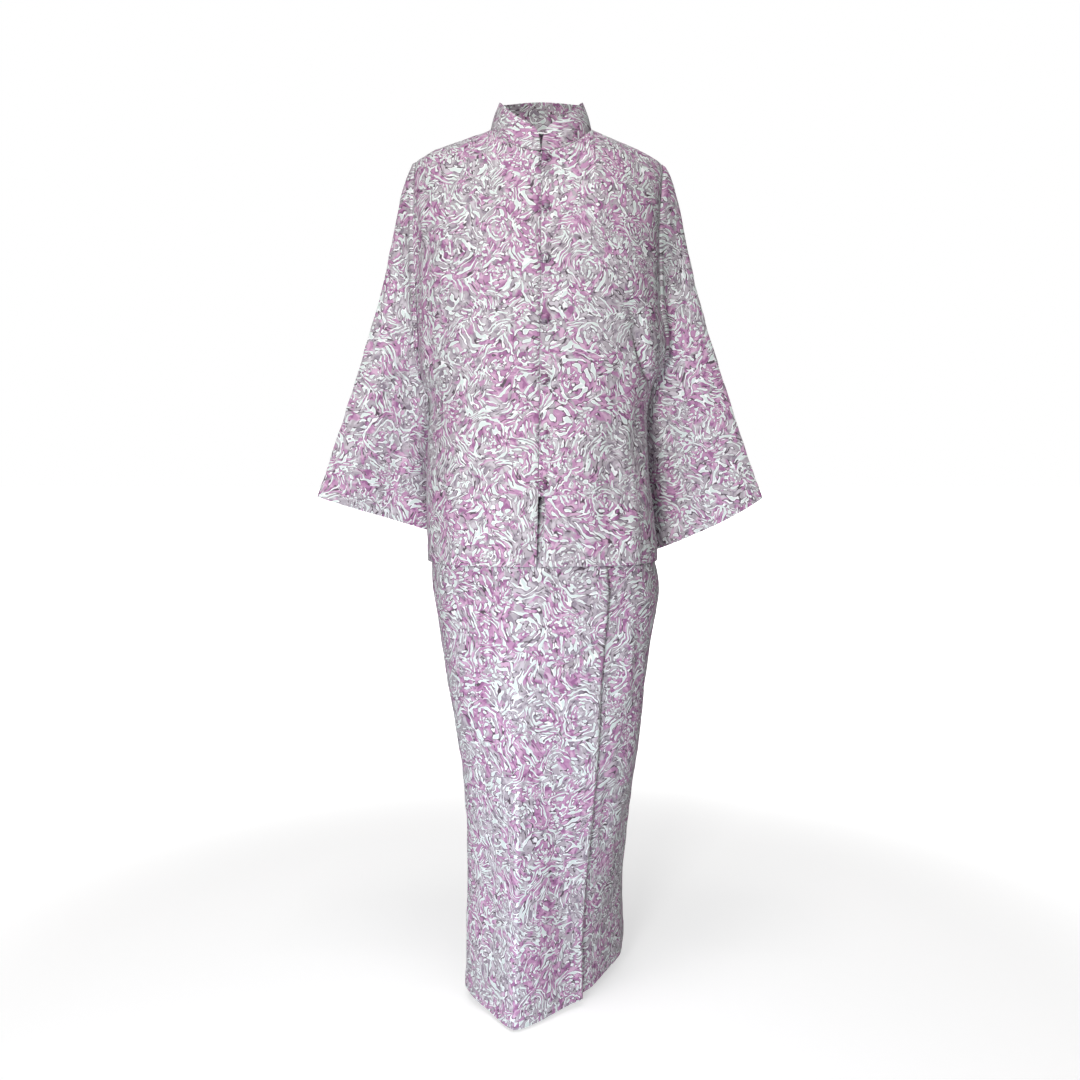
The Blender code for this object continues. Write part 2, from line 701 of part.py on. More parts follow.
def skirt_widths():
    # For each table height, how the plan's width is stretched to the stated half widths
    rows = []
    for height, right, left, mix in SKIRT_SECTIONS:
        xs = [skirt_plan(direction, height)[0] for direction in range(0, 360, 3)]
        rows.append((height, right / -min(xs), left / max(xs)))
    return rows


SKIRT_STRETCH = skirt_widths()


def skirt_fold(direction, height):
    total = 0.0
    for middle, level, width, length, lean, amount in SKIRT_FOLDS:
        drift = (direction - middle - lean * (height - level) + 180.0) % 360.0 - 180.0
        total += amount * math.exp(-((drift / width) ** 2) - ((height - level) / length) ** 2)
    return total


def skirt_point(direction, height):
    x, y = skirt_plan(direction, height)
    stretch_right = along(SKIRT_STRETCH, height, 1)
    stretch_left = along(SKIRT_STRETCH, height, 2)
    lean = 0.5 + 0.5 * math.tanh(x / SIDE_BLEND)
    rise = HEM_RISE_LEFT * smooth(-height, -RISE_FROM_HEIGHT, -SKIRT_HEM) * smooth(y, RISE_FRONT, RISE_BACK)
    base = math.hypot(x, y)
    bump = 1 + skirt_fold(direction, height) / base
    x = x * bump * (stretch_right + (stretch_left - stretch_right) * lean)
    return np.array([x, y * bump, height + rise])


def skirt_outward(direction, height):
    ahead = skirt_point(direction + 1.0, height)
    behind = skirt_point(direction - 1.0, height)
    way = unit(ahead - behind)
    return np.array([way[1], -way[0], 0.0])


def wrap_edge(height):
    share = (SKIRT_TOP - height) / (SKIRT_TOP - SKIRT_HEM)
    return WRAP_EDGE_AT_WAIST + (WRAP_EDGE_AT_HEM - WRAP_EDGE_AT_WAIST) * share


def seam_degrees():
    # Half the seam gap as an angle, at the depth of the skirt's back
    return math.degrees(SEAM / 2 / HIP_BACK)


def spread(start, end, columns):
    return [start + (end - start) * k / (columns - 1) for k in range(columns)]


def build_skirt(material):
    gap = seam_degrees()
    back_directions = spread(RIGHT_SEAM + 360.0 - gap, LEFT_SEAM + gap, BACK_COLUMNS)
    over, back, under = [], [], []
    for height in spread(SKIRT_TOP, SKIRT_HEM, SKIRT_ROWS):
        share = (SKIRT_TOP - height) / (SKIRT_TOP - SKIRT_HEM)
        edge = wrap_edge(height)
        lift = WRAP_LIFT_TOP + (WRAP_LIFT_HEM - WRAP_LIFT_TOP) * share**2
        row = []
        for direction in spread(edge, RIGHT_SEAM + gap, OVER_COLUMNS):
            near_edge = max(1 - abs(direction - edge) / WRAP_EDGE_DEGREES, 0.0) ** 2
            row.append(skirt_point(direction, height) + skirt_outward(direction, height) * lift * near_edge)
        over.append(row)
        back.append([skirt_point(direction, height) for direction in back_directions])
        row = []
        for direction in spread(LEFT_SEAM - gap, edge - UNDERLAP_DEGREES, UNDER_COLUMNS):
            under_wrap = 1 - smooth(direction, edge, edge + UNDER_EASE_DEGREES)
            inset = (CLOTH + WRAP_SPACE) * under_wrap
            row.append(skirt_point(direction, height) - skirt_outward(direction, height) * inset)
        under.append(row)
    wall("skirt_front_over", np.array(over), (0.3, -1, 0), material)
    wall("skirt_back", np.array(back), (-1, 0, 0), material)
    wall("skirt_front_under", np.array(under), (1, 0, 0), material)


def build_waistband(material):
    # A band that stands on the skirt's top edge, its ends meeting under the wrap
    start = WRAP_EDGE_AT_WAIST - UNDERLAP_DEGREES
    gap = seam_degrees()
    grid = []
    for height in spread(SKIRT_TOP + SEAM, SKIRT_TOP + SEAM + WAISTBAND_HEIGHT, WAISTBAND_ROWS):
        row = []
        for direction in spread(start + gap, start + 360.0 - gap, WAISTBAND_COLUMNS):
            base = skirt_point(direction, SKIRT_TOP)
            row.append(np.array([base[0], base[1], height]))
        grid.append(row)
    wall("skirt_waistband", np.array(grid), (0, -1, 0), material)


def main():
    clear_scene()
    printed = cloth_material("printed_cotton", *PRINT_COTTON)
    covered = cloth_material("button_cloth", *BUTTON_CLOTH)
    build_jacket_body(printed)
    build_button_stand(printed)
    build_collar(printed)
    build_sleeves(printed)
    build_buttons(covered)
    build_skirt(printed)
    build_waistband(printed)


main()
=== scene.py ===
import math

import bpy
import numpy as np
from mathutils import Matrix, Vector


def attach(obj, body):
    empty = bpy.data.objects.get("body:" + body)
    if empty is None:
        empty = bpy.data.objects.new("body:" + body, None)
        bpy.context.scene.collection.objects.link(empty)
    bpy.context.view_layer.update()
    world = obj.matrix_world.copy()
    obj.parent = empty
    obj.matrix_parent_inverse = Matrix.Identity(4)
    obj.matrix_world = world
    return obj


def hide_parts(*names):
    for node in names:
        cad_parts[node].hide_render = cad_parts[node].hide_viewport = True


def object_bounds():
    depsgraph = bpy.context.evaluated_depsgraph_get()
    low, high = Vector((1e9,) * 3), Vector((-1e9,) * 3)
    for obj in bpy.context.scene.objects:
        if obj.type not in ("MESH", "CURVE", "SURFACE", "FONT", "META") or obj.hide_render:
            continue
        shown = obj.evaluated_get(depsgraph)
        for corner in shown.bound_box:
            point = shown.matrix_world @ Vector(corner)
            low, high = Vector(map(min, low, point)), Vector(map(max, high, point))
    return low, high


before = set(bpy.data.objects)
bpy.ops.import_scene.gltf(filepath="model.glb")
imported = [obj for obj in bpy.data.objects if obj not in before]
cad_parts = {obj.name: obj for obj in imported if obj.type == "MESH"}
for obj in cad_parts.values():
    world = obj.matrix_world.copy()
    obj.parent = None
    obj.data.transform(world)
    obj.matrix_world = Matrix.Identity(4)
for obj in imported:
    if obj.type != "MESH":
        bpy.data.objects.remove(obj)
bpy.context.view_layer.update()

up = np.array([0.0, 0.0, 1.0])
sideways = np.array([1.0, 0.0, 0.0])

cloth = {
    "thickness": 0.0011,
    "seamGap": 0.0003,
    "seamDip": 0.0007,       # how far a sewn seam pulls the cloth in
    "seamDipWidth": 0.003,
    "armholeDip": 1.9,       # how many times deeper an armhole seam lies
    "hemHeight": 0.024,
    "hemStep": 0.0005,       # the doubled cloth of a hem stands out this much
    "unevenness": 0.0007,    # small waves of cotton that has been worn
}


# General helpers

def smooth(value, low, high):
    t = np.clip((value - low) / (high - low), 0, 1)
    return t * t * (3 - 2 * t)


def blend(start, end, share):
    return start + (end - start) * share


def unit(vectors):
    return vectors / np.maximum(np.linalg.norm(vectors, axis=-1, keepdims=True), 1e-12)


def along(table, height, column):
    # a smooth curve through one column of a table whose first column is the height
    rows = np.array(sorted(table))
    knots, values = rows[:, 0], rows[:, column]
    slopes = np.gradient(values, knots)
    height = np.clip(height, knots[0], knots[-1])
    i = np.clip(np.searchsorted(knots, height, side="right") - 1, 0, len(knots) - 2)
    step = knots[i + 1] - knots[i]
    t = (height - knots[i]) / step
    rise = (2 * t**3 - 3 * t**2 + 1) * values[i] + (t**3 - 2 * t**2 + t) * step * slopes[i]
    return rise + (3 * t**2 - 2 * t**3) * values[i + 1] + (t**3 - t**2) * step * slopes[i + 1]


def softFolds(table, across, height, period=None):
    # large folds: middle, height, half width, half length, lean, depth
    total = np.zeros(np.broadcast(across, height).shape)
    for middle, level, width, length, lean, amount in table:
        drift = across - middle - lean * (height - level)
        if period:
            drift = (drift + period / 2) % period - period / 2
        total += amount * np.exp(-((drift / width) ** 2) - ((height - level) / length) ** 2)
    return total


def creases(table, x, z):
    # Small creases, in millimetres: from x, z to x, z, sideways bow, half width, depth. The last number says
    # how much steeper one flank is.
    total = np.zeros(x.shape)
    for row in table:
        x0, z0, x1, z1, bow, halfWidth, amount = np.array(row[:7]) / 1000
        dx, dz = x1 - x0, z1 - z0
        length = math.hypot(dx, dz)
        t = ((x - x0) * dx + (z - z0) * dz) / length**2
        off = ((x - x0) * dz - (z - z0) * dx) / length - bow * 4 * t * (1 - t)
        flank = np.where(off > 0, halfWidth / row[7], halfWidth)
        ends = smooth(t, -0.08, 0.3) * (1 - smooth(t, 0.62, 1.08))
        total += amount * np.exp(-((off / flank) ** 2)) * ends
    return total


def unevenness(u, v, seed, longest=0.075, shortest=0.016, waves=14):
    # gentle waves in many directions, the same at each run
    random = np.random.default_rng(seed)
    total = np.zeros(u.shape)
    for k in range(waves):
        size = longest * (shortest / longest) ** (k / (waves - 1))
        turn = random.uniform(0, 2 * math.pi)
        phase = random.uniform(0, 2 * math.pi)
        drift = 0.35 * np.sin(2 * math.pi * (u * math.sin(turn) - v * math.cos(turn)) / (size * 2.7) + phase)
        wave = np.sin(2 * math.pi * (u * math.cos(turn) + v * math.sin(turn)) / size + phase + 2 * drift)
        total += wave * (size / longest) ** 0.8
    return total / math.sqrt(waves)


def gridNormals(grid, around, outward):
    across = np.roll(grid, -1, 1) - np.roll(grid, 1, 1) if around else np.gradient(grid, axis=1)
    normals = unit(np.cross(across, np.gradient(grid, axis=0)))
    if np.dot(normals[0, 0], outward) < 0:
        normals = -normals
    return normals


def closeRound(grid, around=True):
    return np.concatenate([grid, grid[:, :1]], axis=1) if around else grid


def walk(steps, axis):
    # distances walked so far, from nought
    return np.insert(np.cumsum(steps, axis=axis), 0, 0.0, axis=axis)


def clothCoordinates(grid, around):
    # metres along the weft and the warp, measured on the cloth itself
    closed = closeRound(grid, around)
    u, v = (walk(np.linalg.norm(np.diff(closed, axis=axis), axis=2), axis) for axis in (1, 0))
    return u - u[:, -1:] / 2, v


def shell(name, grid, outward, relief, origin, around=False, flatCut=None):
    # The cloth's two faces and its rims. relief moves it out along its normals, origin is the cut's place on
    # the print, flatCut gives the places on the cut where rows and columns aren't square to each other.
    u, v = clothCoordinates(grid, around) if flatCut is None else flatCut
    area = flatArea(grid, around)
    normals = gridNormals(grid, around, np.array(outward, float))
    outer = grid + normals * relief[..., None]
    inner = outer - gridNormals(outer, around, normals[0, 0]) * cloth["thickness"]
    rows, columns = grid.shape[:2]
    size = rows * columns
    points = np.concatenate([outer.reshape(-1, 3), inner.reshape(-1, 3)])
    place = np.stack([u, v], -1)
    faces, uvs = [], []

    def addQuads(corners, inside, turn):
        # corners are rows and columns of the grid, on its outer or inner face
        ids = [r * columns + c % columns + size * k for (r, c), k in zip(corners, inside)]
        ids = np.broadcast_arrays(*ids)
        faces.append(np.stack(ids, -1).reshape(-1, 4)[:, ::turn])
        uvs.append(np.stack([place[r, c] for r, c in corners], -2).reshape(-1, 4, 2)[:, ::turn])

    i, j = np.arange(rows - 1)[:, None], np.arange(columns if around else columns - 1)[None]
    quad = [(i, j), (i, j + 1), (i + 1, j + 1), (i + 1, j)]
    addQuads(quad, (0, 0, 0, 0), 1)
    addQuads(quad, (1, 1, 1, 1), -1)
    i, j = i[:, 0], j[0]
    for row, turn in ((0, 1), (rows - 1, -1)):
        addQuads([(row, j + 1), (row, j), (row, j), (row, j + 1)], (0, 0, 1, 1), turn)
    for column, turn in () if around else ((0, 1), (columns - 1, -1)):
        addQuads([(i, column), (i + 1, column), (i + 1, column), (i, column)], (0, 0, 1, 1), turn)
    piece = meshObject(name, points, np.concatenate(faces), np.concatenate(uvs).reshape(-1, 2) + origin)
    width = float((u[:, -1] - u[:, 0]).max())
    length = float((v[-1] - v[0]).max())
    return piece, (round(width, 3), round(length, 3)), round(area, 4)


def flatArea(grid, around):
    closed = closeRound(grid, around)
    one, two = closed[1:, 1:] - closed[:-1, :-1], closed[1:, :-1] - closed[:-1, 1:]
    return float(np.linalg.norm(np.cross(one, two), axis=2).sum() / 2)


def signedVolume(points, faces):
    total = 0.0
    for face in [faces.T] if isinstance(faces, np.ndarray) else faces:
        corners = points[np.array(face)]
        for k in range(1, len(face) - 1):
            total += (corners[0] * np.cross(corners[k], corners[k + 1])).sum()
    return total


def meshObject(name, points, faces, uv=None, sharp=60.0):
    # a smooth mesh with its faces outward and its places on the print, and edges sharp from that many degrees
    mesh = bpy.data.meshes.new(name)
    mesh.from_pydata(points.tolist(), [], faces if isinstance(faces, list) else faces.tolist())
    mesh.update()
    mesh.shade_smooth()
    if sharp:
        mesh.set_sharp_from_angle(angle=math.radians(sharp))
    if uv is not None:
        layer = mesh.uv_layers.new(name="cloth")
        layer.data.foreach_set("uv", uv.astype(np.float32).ravel())
    if signedVolume(points, faces) < 0:
        mesh.flip_normals()
    piece = bpy.data.objects.new(name, mesh)
    bpy.context.scene.collection.objects.link(piece)
    return piece


# The jacket's body: sizes of the form, as in the solids

jacket = {
    "neckHalfWidth": 0.0722, "neckDropFront": 0.048, "neckRiseBack": 0.013,
    "neckDepthFront": 0.088, "neckDepthBack": 0.045, "neckCurve": 1.7, "neckPull": 3,
    "shoulderSlope": {-1: 0.345, 1: 0.405}, "shoulderTip": {-1: 0.176, 1: 0.171},
    "chest": -0.215, "domePower": 2.2, "sectionPower": 2.4,
    "hem": -0.602, "slitTop": -0.5083, "slitStep": 0.002, "slitWidth": 0.0084,
    "underarm": 0.473, "armholeFrom": -0.34, "armholeTo": -0.07,
    # valley beside an armhole: distance from the middle, half width, depth, lowest and highest place
    "sideValley": {-1: (0.171, 0.0062, 0.012, -0.42, -0.07), 1: (0.166, 0.006, 0.005, -0.36, -0.08)},
    "tipRound": 0.0045, "tipRoundWidth": 0.03, "edgeRoll": 0.0024, "edgeRollWidth": 0.0032,
    "armholeHalfDepth": 0.04, "armholeRounding": 0.1,
    "frontGap": 0.001, "edgeAtCollar": 0.0003, "edgeAtHem": -0.0068,
    "neckColumns": 5, "shoulderColumns": 7, "finerColumns": 6, "towardsMiddle": 1.35, "rows": 170,
}

# height, half width at the wearer's right, at the wearer's left, depth in front, behind
jacketSections = (
    (-0.602, 0.1625, 0.1665, 0.132, 0.122),
    (-0.58, 0.163, 0.1662, 0.1315, 0.1205),
    (-0.518, 0.1645, 0.159, 0.13, 0.117),
    (-0.417, 0.1605, 0.1512, 0.1245, 0.107),
    (-0.38, 0.159, 0.153, 0.123, 0.105),
    (-0.361, 0.164, 0.157, 0.1228, 0.105),
    (-0.344, 0.171, 0.164, 0.1228, 0.1055),
    (-0.322, 0.175, 0.1748, 0.123, 0.107),
    (-0.233, 0.1815, 0.1715, 0.124, 0.112),
    (-0.136, 0.185, 0.17, 0.122, 0.113),
    (-0.04, 0.1815, 0.1765, 0.12, 0.112),
    (0.04, 0.1815, 0.1765, 0.12, 0.112),
)

# large folds: across (-1 wearer's right, 1 left), height, half width, half length, lean, depth
frontFolds = (
    (-0.86, -0.25, 0.06, 0.13, 0.1, -0.005),
    (-0.7, -0.5, 0.09, 0.11, 0.25, 0.0035),
    (0.6, -0.47, 0.1, 0.14, 0.45, -0.005),
    (0.8, -0.52, 0.07, 0.11, 0.2, 0.0045),
    (0.84, -0.33, 0.055, 0.06, -0.9, -0.0055),
    (0.3, -0.6, 0.12, 0.045, 0.00, -0.0045),
    (0.44, -0.11, 0.08, 0.07, -0.8, 0.003),
)
backFolds = (
    (-0.66, -0.42, 0.1, 0.17, 0.3, 0.005),
    (-0.36, -0.52, 0.09, 0.12, 0.2, -0.0045),
    (0.1, -0.5, 0.08, 0.14, 0.1, 0.004),
    (0.42, -0.48, 0.1, 0.15, -0.25, -0.0045),
    (0.72, -0.36, 0.08, 0.14, -0.3, 0.005),
)

frontCreases = (
    (-154, -299, -98, -303, 1, 1.6, -0.9, 1), (-82, -62, -148, -106, 4, 8, -1.6, 1),
    (-93, -420, -134, -552, 6, 10, 2, 1.4), (-122, -330, -101, -500, -5, 8, -1.5, 1),
    (-60, -470, -76, -590, 3, 7, -1.4, 1), (-18, -198, -56, -206, 2, 3.5, -0.9, 1),
    (-16, -355, -62, -372, 3, 4, -1, 1), (127, -286, 156, -360, 5, 4.6, -9, 1.6),
    (118, -240, 133, -322, -3, 9, -3, 1), (142, -250, 156, -345, 4, 7, 2.4, 1),
    (25, -577, 113, -589, -4, 4.2, -3, 1.6), (70, -556, 116, -569, 5, 5, -2.6, 1.8),
    (96, -535, 142, -590, 4, 6, 2.2, 1.2), (138, -380, 118, -560, 6, 8.5, -2.6, 1),
    (146, -400, 144, -575, 3, 6, 2, 1.3), (68, -52, 70, -150, 4, 5.5, -2, 1.4),
    (84, -55, 126, -120, -5, 8, 1.4, 1), (22, -268, 64, -283, 3, 4, -1, 1),
    (24, -430, 70, -444, 2, 4.5, -1.1, 1),
)
backCreases = (
    (-135, -300, -102, -430, 8, 6, -3.4, 1.8), (-90, -100, -140, -190, 6, 9, -1.8, 1),
    (-60, -410, -74, -585, 5, 8, -2.4, 1.2), (15, -440, 5, -590, -4, 9, 2, 1),
    (72, -380, 90, -560, 6, 8, -2.6, 1.4), (130, -290, 108, -400, -6, 5.5, -3.2, 1.8),
    (94, -95, 138, -170, -4, 9, -1.5, 1), (-20, -30, -16, -150, 3, 7, -1.2, 1),
)


def halfWidth(side, height):
    return along(jacketSections, height, 1 if side < 0 else 2)


def tipHeight(side):
    return -jacket["shoulderSlope"][side] * (jacket["shoulderTip"][side] - jacket["neckHalfWidth"])


def underarm(side):
    return blend(jacket["hem"], tipHeight(side), jacket["underarm"])


def bodyDepth(face, height):
    return along(jacketSections, height, 3 if face < 0 else 4)


def topEdge(side, face, x):
    # depth and height of the neckline or, further out, of the shoulder seam
    x, neck = np.abs(x), jacket["neckHalfWidth"]
    curve = np.sqrt(np.clip(1 - (x / neck) ** 2, 0, 1))
    deep = jacket["neckDepthFront" if face < 0 else "neckDepthBack"]
    rise = -jacket["neckDropFront"] if face < 0 else jacket["neckRiseBack"]
    nearTip = np.clip(1 - (jacket["shoulderTip"][side] - x) / jacket["tipRoundWidth"], 0, 1)
    shoulder = -jacket["shoulderSlope"][side] * (x - neck) - jacket["tipRound"] * nearTip**2
    height = np.where(x < neck, rise * curve ** jacket["neckCurve"], shoulder)
    return np.where(x < neck, deep * curve, 0.0), height


def aboveChest(side, face, x, height):
    end = topEdge(side, face, x)[1]
    return np.clip((height - jacket["chest"]) / (end - jacket["chest"]), 0, 1)


def turnover(share):
    return (1 - share ** jacket["domePower"]) ** (1 / jacket["domePower"])


def jacketPoint(side, face, x, height):
    power = jacket["sectionPower"]
    here = halfWidth(side, height)
    calm = (halfWidth(side, height - 0.06) + halfWidth(side, height + 0.06)) / 2
    wide = blend(calm, here, smooth(np.abs(x) / here, 0.55, 0.95))
    across = np.minimum(np.abs(x) / wide, 1.0)
    bulge = (1 - across**power) ** (1 / power)
    folds = softFolds(frontFolds if face < 0 else backFolds, side * across, height)
    reach = bodyDepth(face, height) * bulge + folds * np.minimum(bulge * 2.0, 1.0)
    share = aboveChest(side, face, x, height)
    endDepth = topEdge(side, face, x)[0] * share ** jacket["neckPull"]
    reach = blend(endDepth, reach, turnover(share))
    return np.stack([side * x, face * (reach + cloth["seamGap"] / 2), height + 0 * x], -1)


def edgeDistance(side, face, height):
    # where a panel ends: at the side seam below the underarm, at the armhole's edge above it
    power = jacket["sectionPower"]
    rise = np.clip((height - underarm(side)) / jacket["armholeRounding"], 0, 1)
    opening = jacket["armholeHalfDepth"] * np.sqrt(1 - (1 - rise) ** 2)
    return halfWidth(side, height) * (1 - (opening / bodyDepth(face, height)) ** power) ** (1 / power)


def frontLine(height):
    share = (height - jacket["hem"]) / (-jacket["neckDropFront"] - jacket["hem"])
    return blend(jacket["edgeAtHem"], jacket["edgeAtCollar"], np.sqrt(np.maximum(share, 0)))


def frontEdge(side, height):
    edge = side * frontLine(height) + jacket["frontGap"] / 2
    if side < 0:
        return edge
    slit = jacket["slitTop"]
    return edge + jacket["slitWidth"] * (1 - smooth(height, slit, slit + jacket["slitStep"]))


def columnPlaces(side, k):
    # distance from the middle where a column ends, first on the neckline, then on the shoulder
    neck = jacket["neckHalfWidth"] * np.sin(math.pi / 2 * np.minimum(k / jacket["neckColumns"], 1.0))
    step = (jacket["shoulderTip"][side] - jacket["neckHalfWidth"]) / jacket["shoulderColumns"]
    return neck + step * np.maximum(k - jacket["neckColumns"], 0)


def bodyLevels():
    # shares of the panel's height, with the slit's step and the underarm among them
    levels = 1 - (1 - np.linspace(0.0, 1.0, jacket["rows"])) ** 1.25
    span = -jacket["neckDropFront"] - jacket["hem"]
    fixed = [(jacket["slitTop"] + step - jacket["hem"]) / span for step in (0.0, jacket["slitStep"])]
    fixed.append(jacket["underarm"])
    kept = [v for v in levels if min(abs(v - s) for s in fixed) > 0.0018]
    return np.array(sorted(kept + fixed))


def bodyPanel(side, face):
    # rows from hem to top, columns from the middle to the side
    last = jacket["neckColumns"] + jacket["shoulderColumns"]
    k = last * np.linspace(0, 1, last * jacket["finerColumns"] + 1)[None, :] ** jacket["towardsMiddle"]
    level = bodyLevels()[:, None]
    place = columnPlaces(side, k)
    top = topEdge(side, face, place)[1]
    height = blend(jacket["hem"], top, level)
    low = np.sin(math.pi / 2 * k / last) ** (2 / jacket["sectionPower"])
    high = place / edgeDistance(side, face, top)
    x = edgeDistance(side, face, height) * blend(low, high, smooth(level, 0.3, 0.98))
    if face < 0:
        x = x + frontEdge(side, height) * (1 - k / last) ** 2
    return jacketPoint(side, face, x, height)


def edgeDip(distance, deeper=1.0):
    return -cloth["seamDip"] * deeper * np.exp(-((distance / cloth["seamDipWidth"] / math.sqrt(deeper)) ** 2))


def armholeDip(distance, height):
    # deeper between the underarm and the shoulder than at the side seam and the shoulder's tip
    low, high = jacket["armholeFrom"], jacket["armholeTo"]
    share = smooth(height, low, low + 0.05) * (1 - smooth(height, high - 0.07, high))
    return edgeDip(distance) * (1 - share) + edgeDip(distance, cloth["armholeDip"]) * share


def hemStep(distance):
    # doubled cloth up to the hem's stitch line
    return cloth["hemStep"] * (1 - smooth(distance, cloth["hemHeight"] - 0.0012, cloth["hemHeight"] + 0.0006))


def panelRelief(grid, table, seed, seams):
    # creases, small waves, the hem's step and the seams' dips. seams holds (row or column ends, is it sewn)
    u, v = clothCoordinates(grid, False)
    relief = creases(table, grid[..., 0], grid[..., 2])
    relief = relief + cloth["unevenness"] * unevenness(u, v, seed)
    fromTop = v[-1:] - v
    fromEnds = (u - u[:, :1], u[:, -1:] - u)
    relief = relief * smooth(fromTop, 0, 0.012)
    for distance, sewn in zip(fromEnds, seams):
        relief = relief * smooth(distance, 0, 0.008)
        if sewn:
            # the sleeve's weight pulls the armhole seam in further than a side seam
            relief = relief + armholeDip(distance, grid[..., 2])
        else:
            relief = relief - jacket["edgeRoll"] * np.exp(-((distance / jacket["edgeRollWidth"]) ** 2))
    return relief + hemStep(v) + edgeDip(fromTop)


def sideValley(side, grid):
    # the cloth falls back in a narrow valley between the chest and the armhole seam
    middle, width, depth, low, high = jacket["sideValley"][side]
    across = np.exp(-(((np.abs(grid[..., 0]) - middle) / width) ** 2))
    z = grid[..., 2]
    return depth * across * smooth(z, low, low + 0.05) * (1 - smooth(z, high - 0.1, high))


def buildJacketBody():
    made = []
    for side, name, seed in ((-1, "jacketFrontRight", 3), (1, "jacketFrontLeft", 5)):
        grid = bodyPanel(side, -1)
        u = clothCoordinates(grid, False)[0]
        grid[..., 1] += sideValley(side, grid) * smooth(u[:, -1:] - u, 0, 0.006)
        relief = panelRelief(grid, frontCreases, seed, (False, True))
        made.append(shell(name, grid, (0, -1, 0), relief, (0.13 * side, 0.4)))
    left, right = bodyPanel(1, 1), bodyPanel(-1, 1)
    grid = np.concatenate([right[:, :0:-1], left], axis=1)
    relief = panelRelief(grid, backCreases, 7, (True, True))
    made.append(shell("jacketBack", grid, (-1, 0.2, 0), relief, (0.95, 0.4)))
    print("jacket body made")
    return made


# The strip behind the closure

stand = {"halfWidth": 0.0125, "depth": 0.0042, "columns": 9, "belowNeck": 0.0095}


def buildButtonStand():
    levels = bodyLevels()
    span = -jacket["neckDropFront"] - jacket["hem"]
    heights = jacket["hem"] + span * levels
    inside = (heights >= jacket["slitTop"] - 1e-6) & (heights < -jacket["neckDropFront"] - stand["belowNeck"])
    heights = heights[inside][:, None]
    x = frontLine(heights) + np.linspace(-1, 1, stand["columns"]) * stand["halfWidth"]
    right, left = (jacketPoint(side, -1, np.abs(x), heights + 0 * x) for side in (-1, 1))
    grid = np.where((x < 0)[..., None], right, left)
    grid = grid - gridNormals(grid, False, np.array([0.0, -1.0, 0.0])) * stand["depth"]
    return shell("buttonStand", grid, (0, -1, 0), np.zeros(grid.shape[:2]), (2.1, 0.9))


# The stand collar

collar = {
    "height": 0.0385, "seam": 0.0006, "lean": 0.013, "endWidth": 0.03, "endHeight": 0.006,
    "endGap": 0.001, "endPower": 2.4, "rows": 22, "finer": 12, "bulge": 0.0012, "unevenness": 0.35,
}


def neckline():
    turns = np.linspace(0, math.pi / 2, jacket["neckColumns"] * collar["finer"] + 1)
    x = jacket["neckHalfWidth"] * np.sin(turns)
    lines = []
    for side in (-1, 1):
        front = jacketPoint(side, -1, x, topEdge(side, -1, x)[1])
        back = jacketPoint(side, 1, x[-2::-1], topEdge(side, 1, x[-2::-1])[1])
        lines.append(np.concatenate([front, back]))
    return np.concatenate([lines[0], lines[1][-2::-1]])


def buildCollar():
    line = neckline()
    line[0, 0] -= collar["endGap"]
    line[-1, 0] += collar["endGap"]
    line = line[(np.abs(line[:, 0]) >= collar["endGap"] - 1e-9) | (line[:, 1] > 0)]
    centre = np.array([0.0, (line[:, 1].max() + line[:, 1].min()) / 2, 0.0])
    inward = centre - line
    inward[:, 2] = 0.0
    inward = unit(inward)
    walked = walk(np.linalg.norm(np.diff(line, axis=0), axis=1), 0)
    toEnd = np.minimum(walked, walked[-1] - walked)
    rounding = np.clip(toEnd / collar["endWidth"], 0, 1)
    rounding = (1 - (1 - rounding) ** collar["endPower"]) ** (1 / collar["endPower"])
    heights = blend(collar["endHeight"], collar["height"], rounding)
    start = line + (inward + up) * collar["seam"]
    share = np.linspace(0, 1, collar["rows"])[:, None, None]
    rise = heights[None, :, None] * share
    # a collar of two stiffened layers bulges a little between its seam and its top edge
    bulge = collar["bulge"] * np.sin(math.pi * share)
    grid = start[None] + up * rise + inward[None] * (collar["lean"] * rise / collar["height"] - bulge)
    u, v = clothCoordinates(grid, False)
    relief = collar["unevenness"] * cloth["unevenness"] * unevenness(u, v, 11) * smooth(v, 0, 0.01)
    return shell("standCollar", grid, (-0.3, -1, 0), relief, (1.6, 0.15))


# The sleeves

sleeve = {
    "cuffOuter": {-1: (0.33, 0.03, -0.5125), 1: (0.3265, 0.03, -0.514)},
    "cuffInner": {-1: (0.16, 0.08, -0.568), 1: (0.162, 0.08, -0.598)},
    "topHollow": 0.006, "clearance": 0.0035, "lowHollow": {-1: 0.012, 1: 0.018}, "lowPower": 0.7,
    "swingPower": 2.2, "profilePower": 0.75, "start": 0.3, "headBump": (0.12, 0.1, 0.006),
    "underarmBump": (0.09, 0.08, 0.003), "cuffCurve": {-1: 0.000, 1: -0.006},
    "cuffHalfDepth": 0.024, "halfDepth": 0.03, "rows": 125, "ringLevels": 96,
    # beside the body the sleeve falls back steeply: how far, within what distance, below what height
    "setBack": 0.024, "setBackWithin": 0.012, "setBackFrom": (-0.44, -0.26), "setBackUntil": (0.7, 1.0),
    "headOut": 0.0055, "headOutAt": (0.16, 0.14),
}

# folds round the sleeve: place between top (0) and bottom (1), half width, depth
sleeveFolds = ((0.3, 0.1, 0.0045), (0.56, 0.09, -0.005), (0.8, 0.07, 0.004))

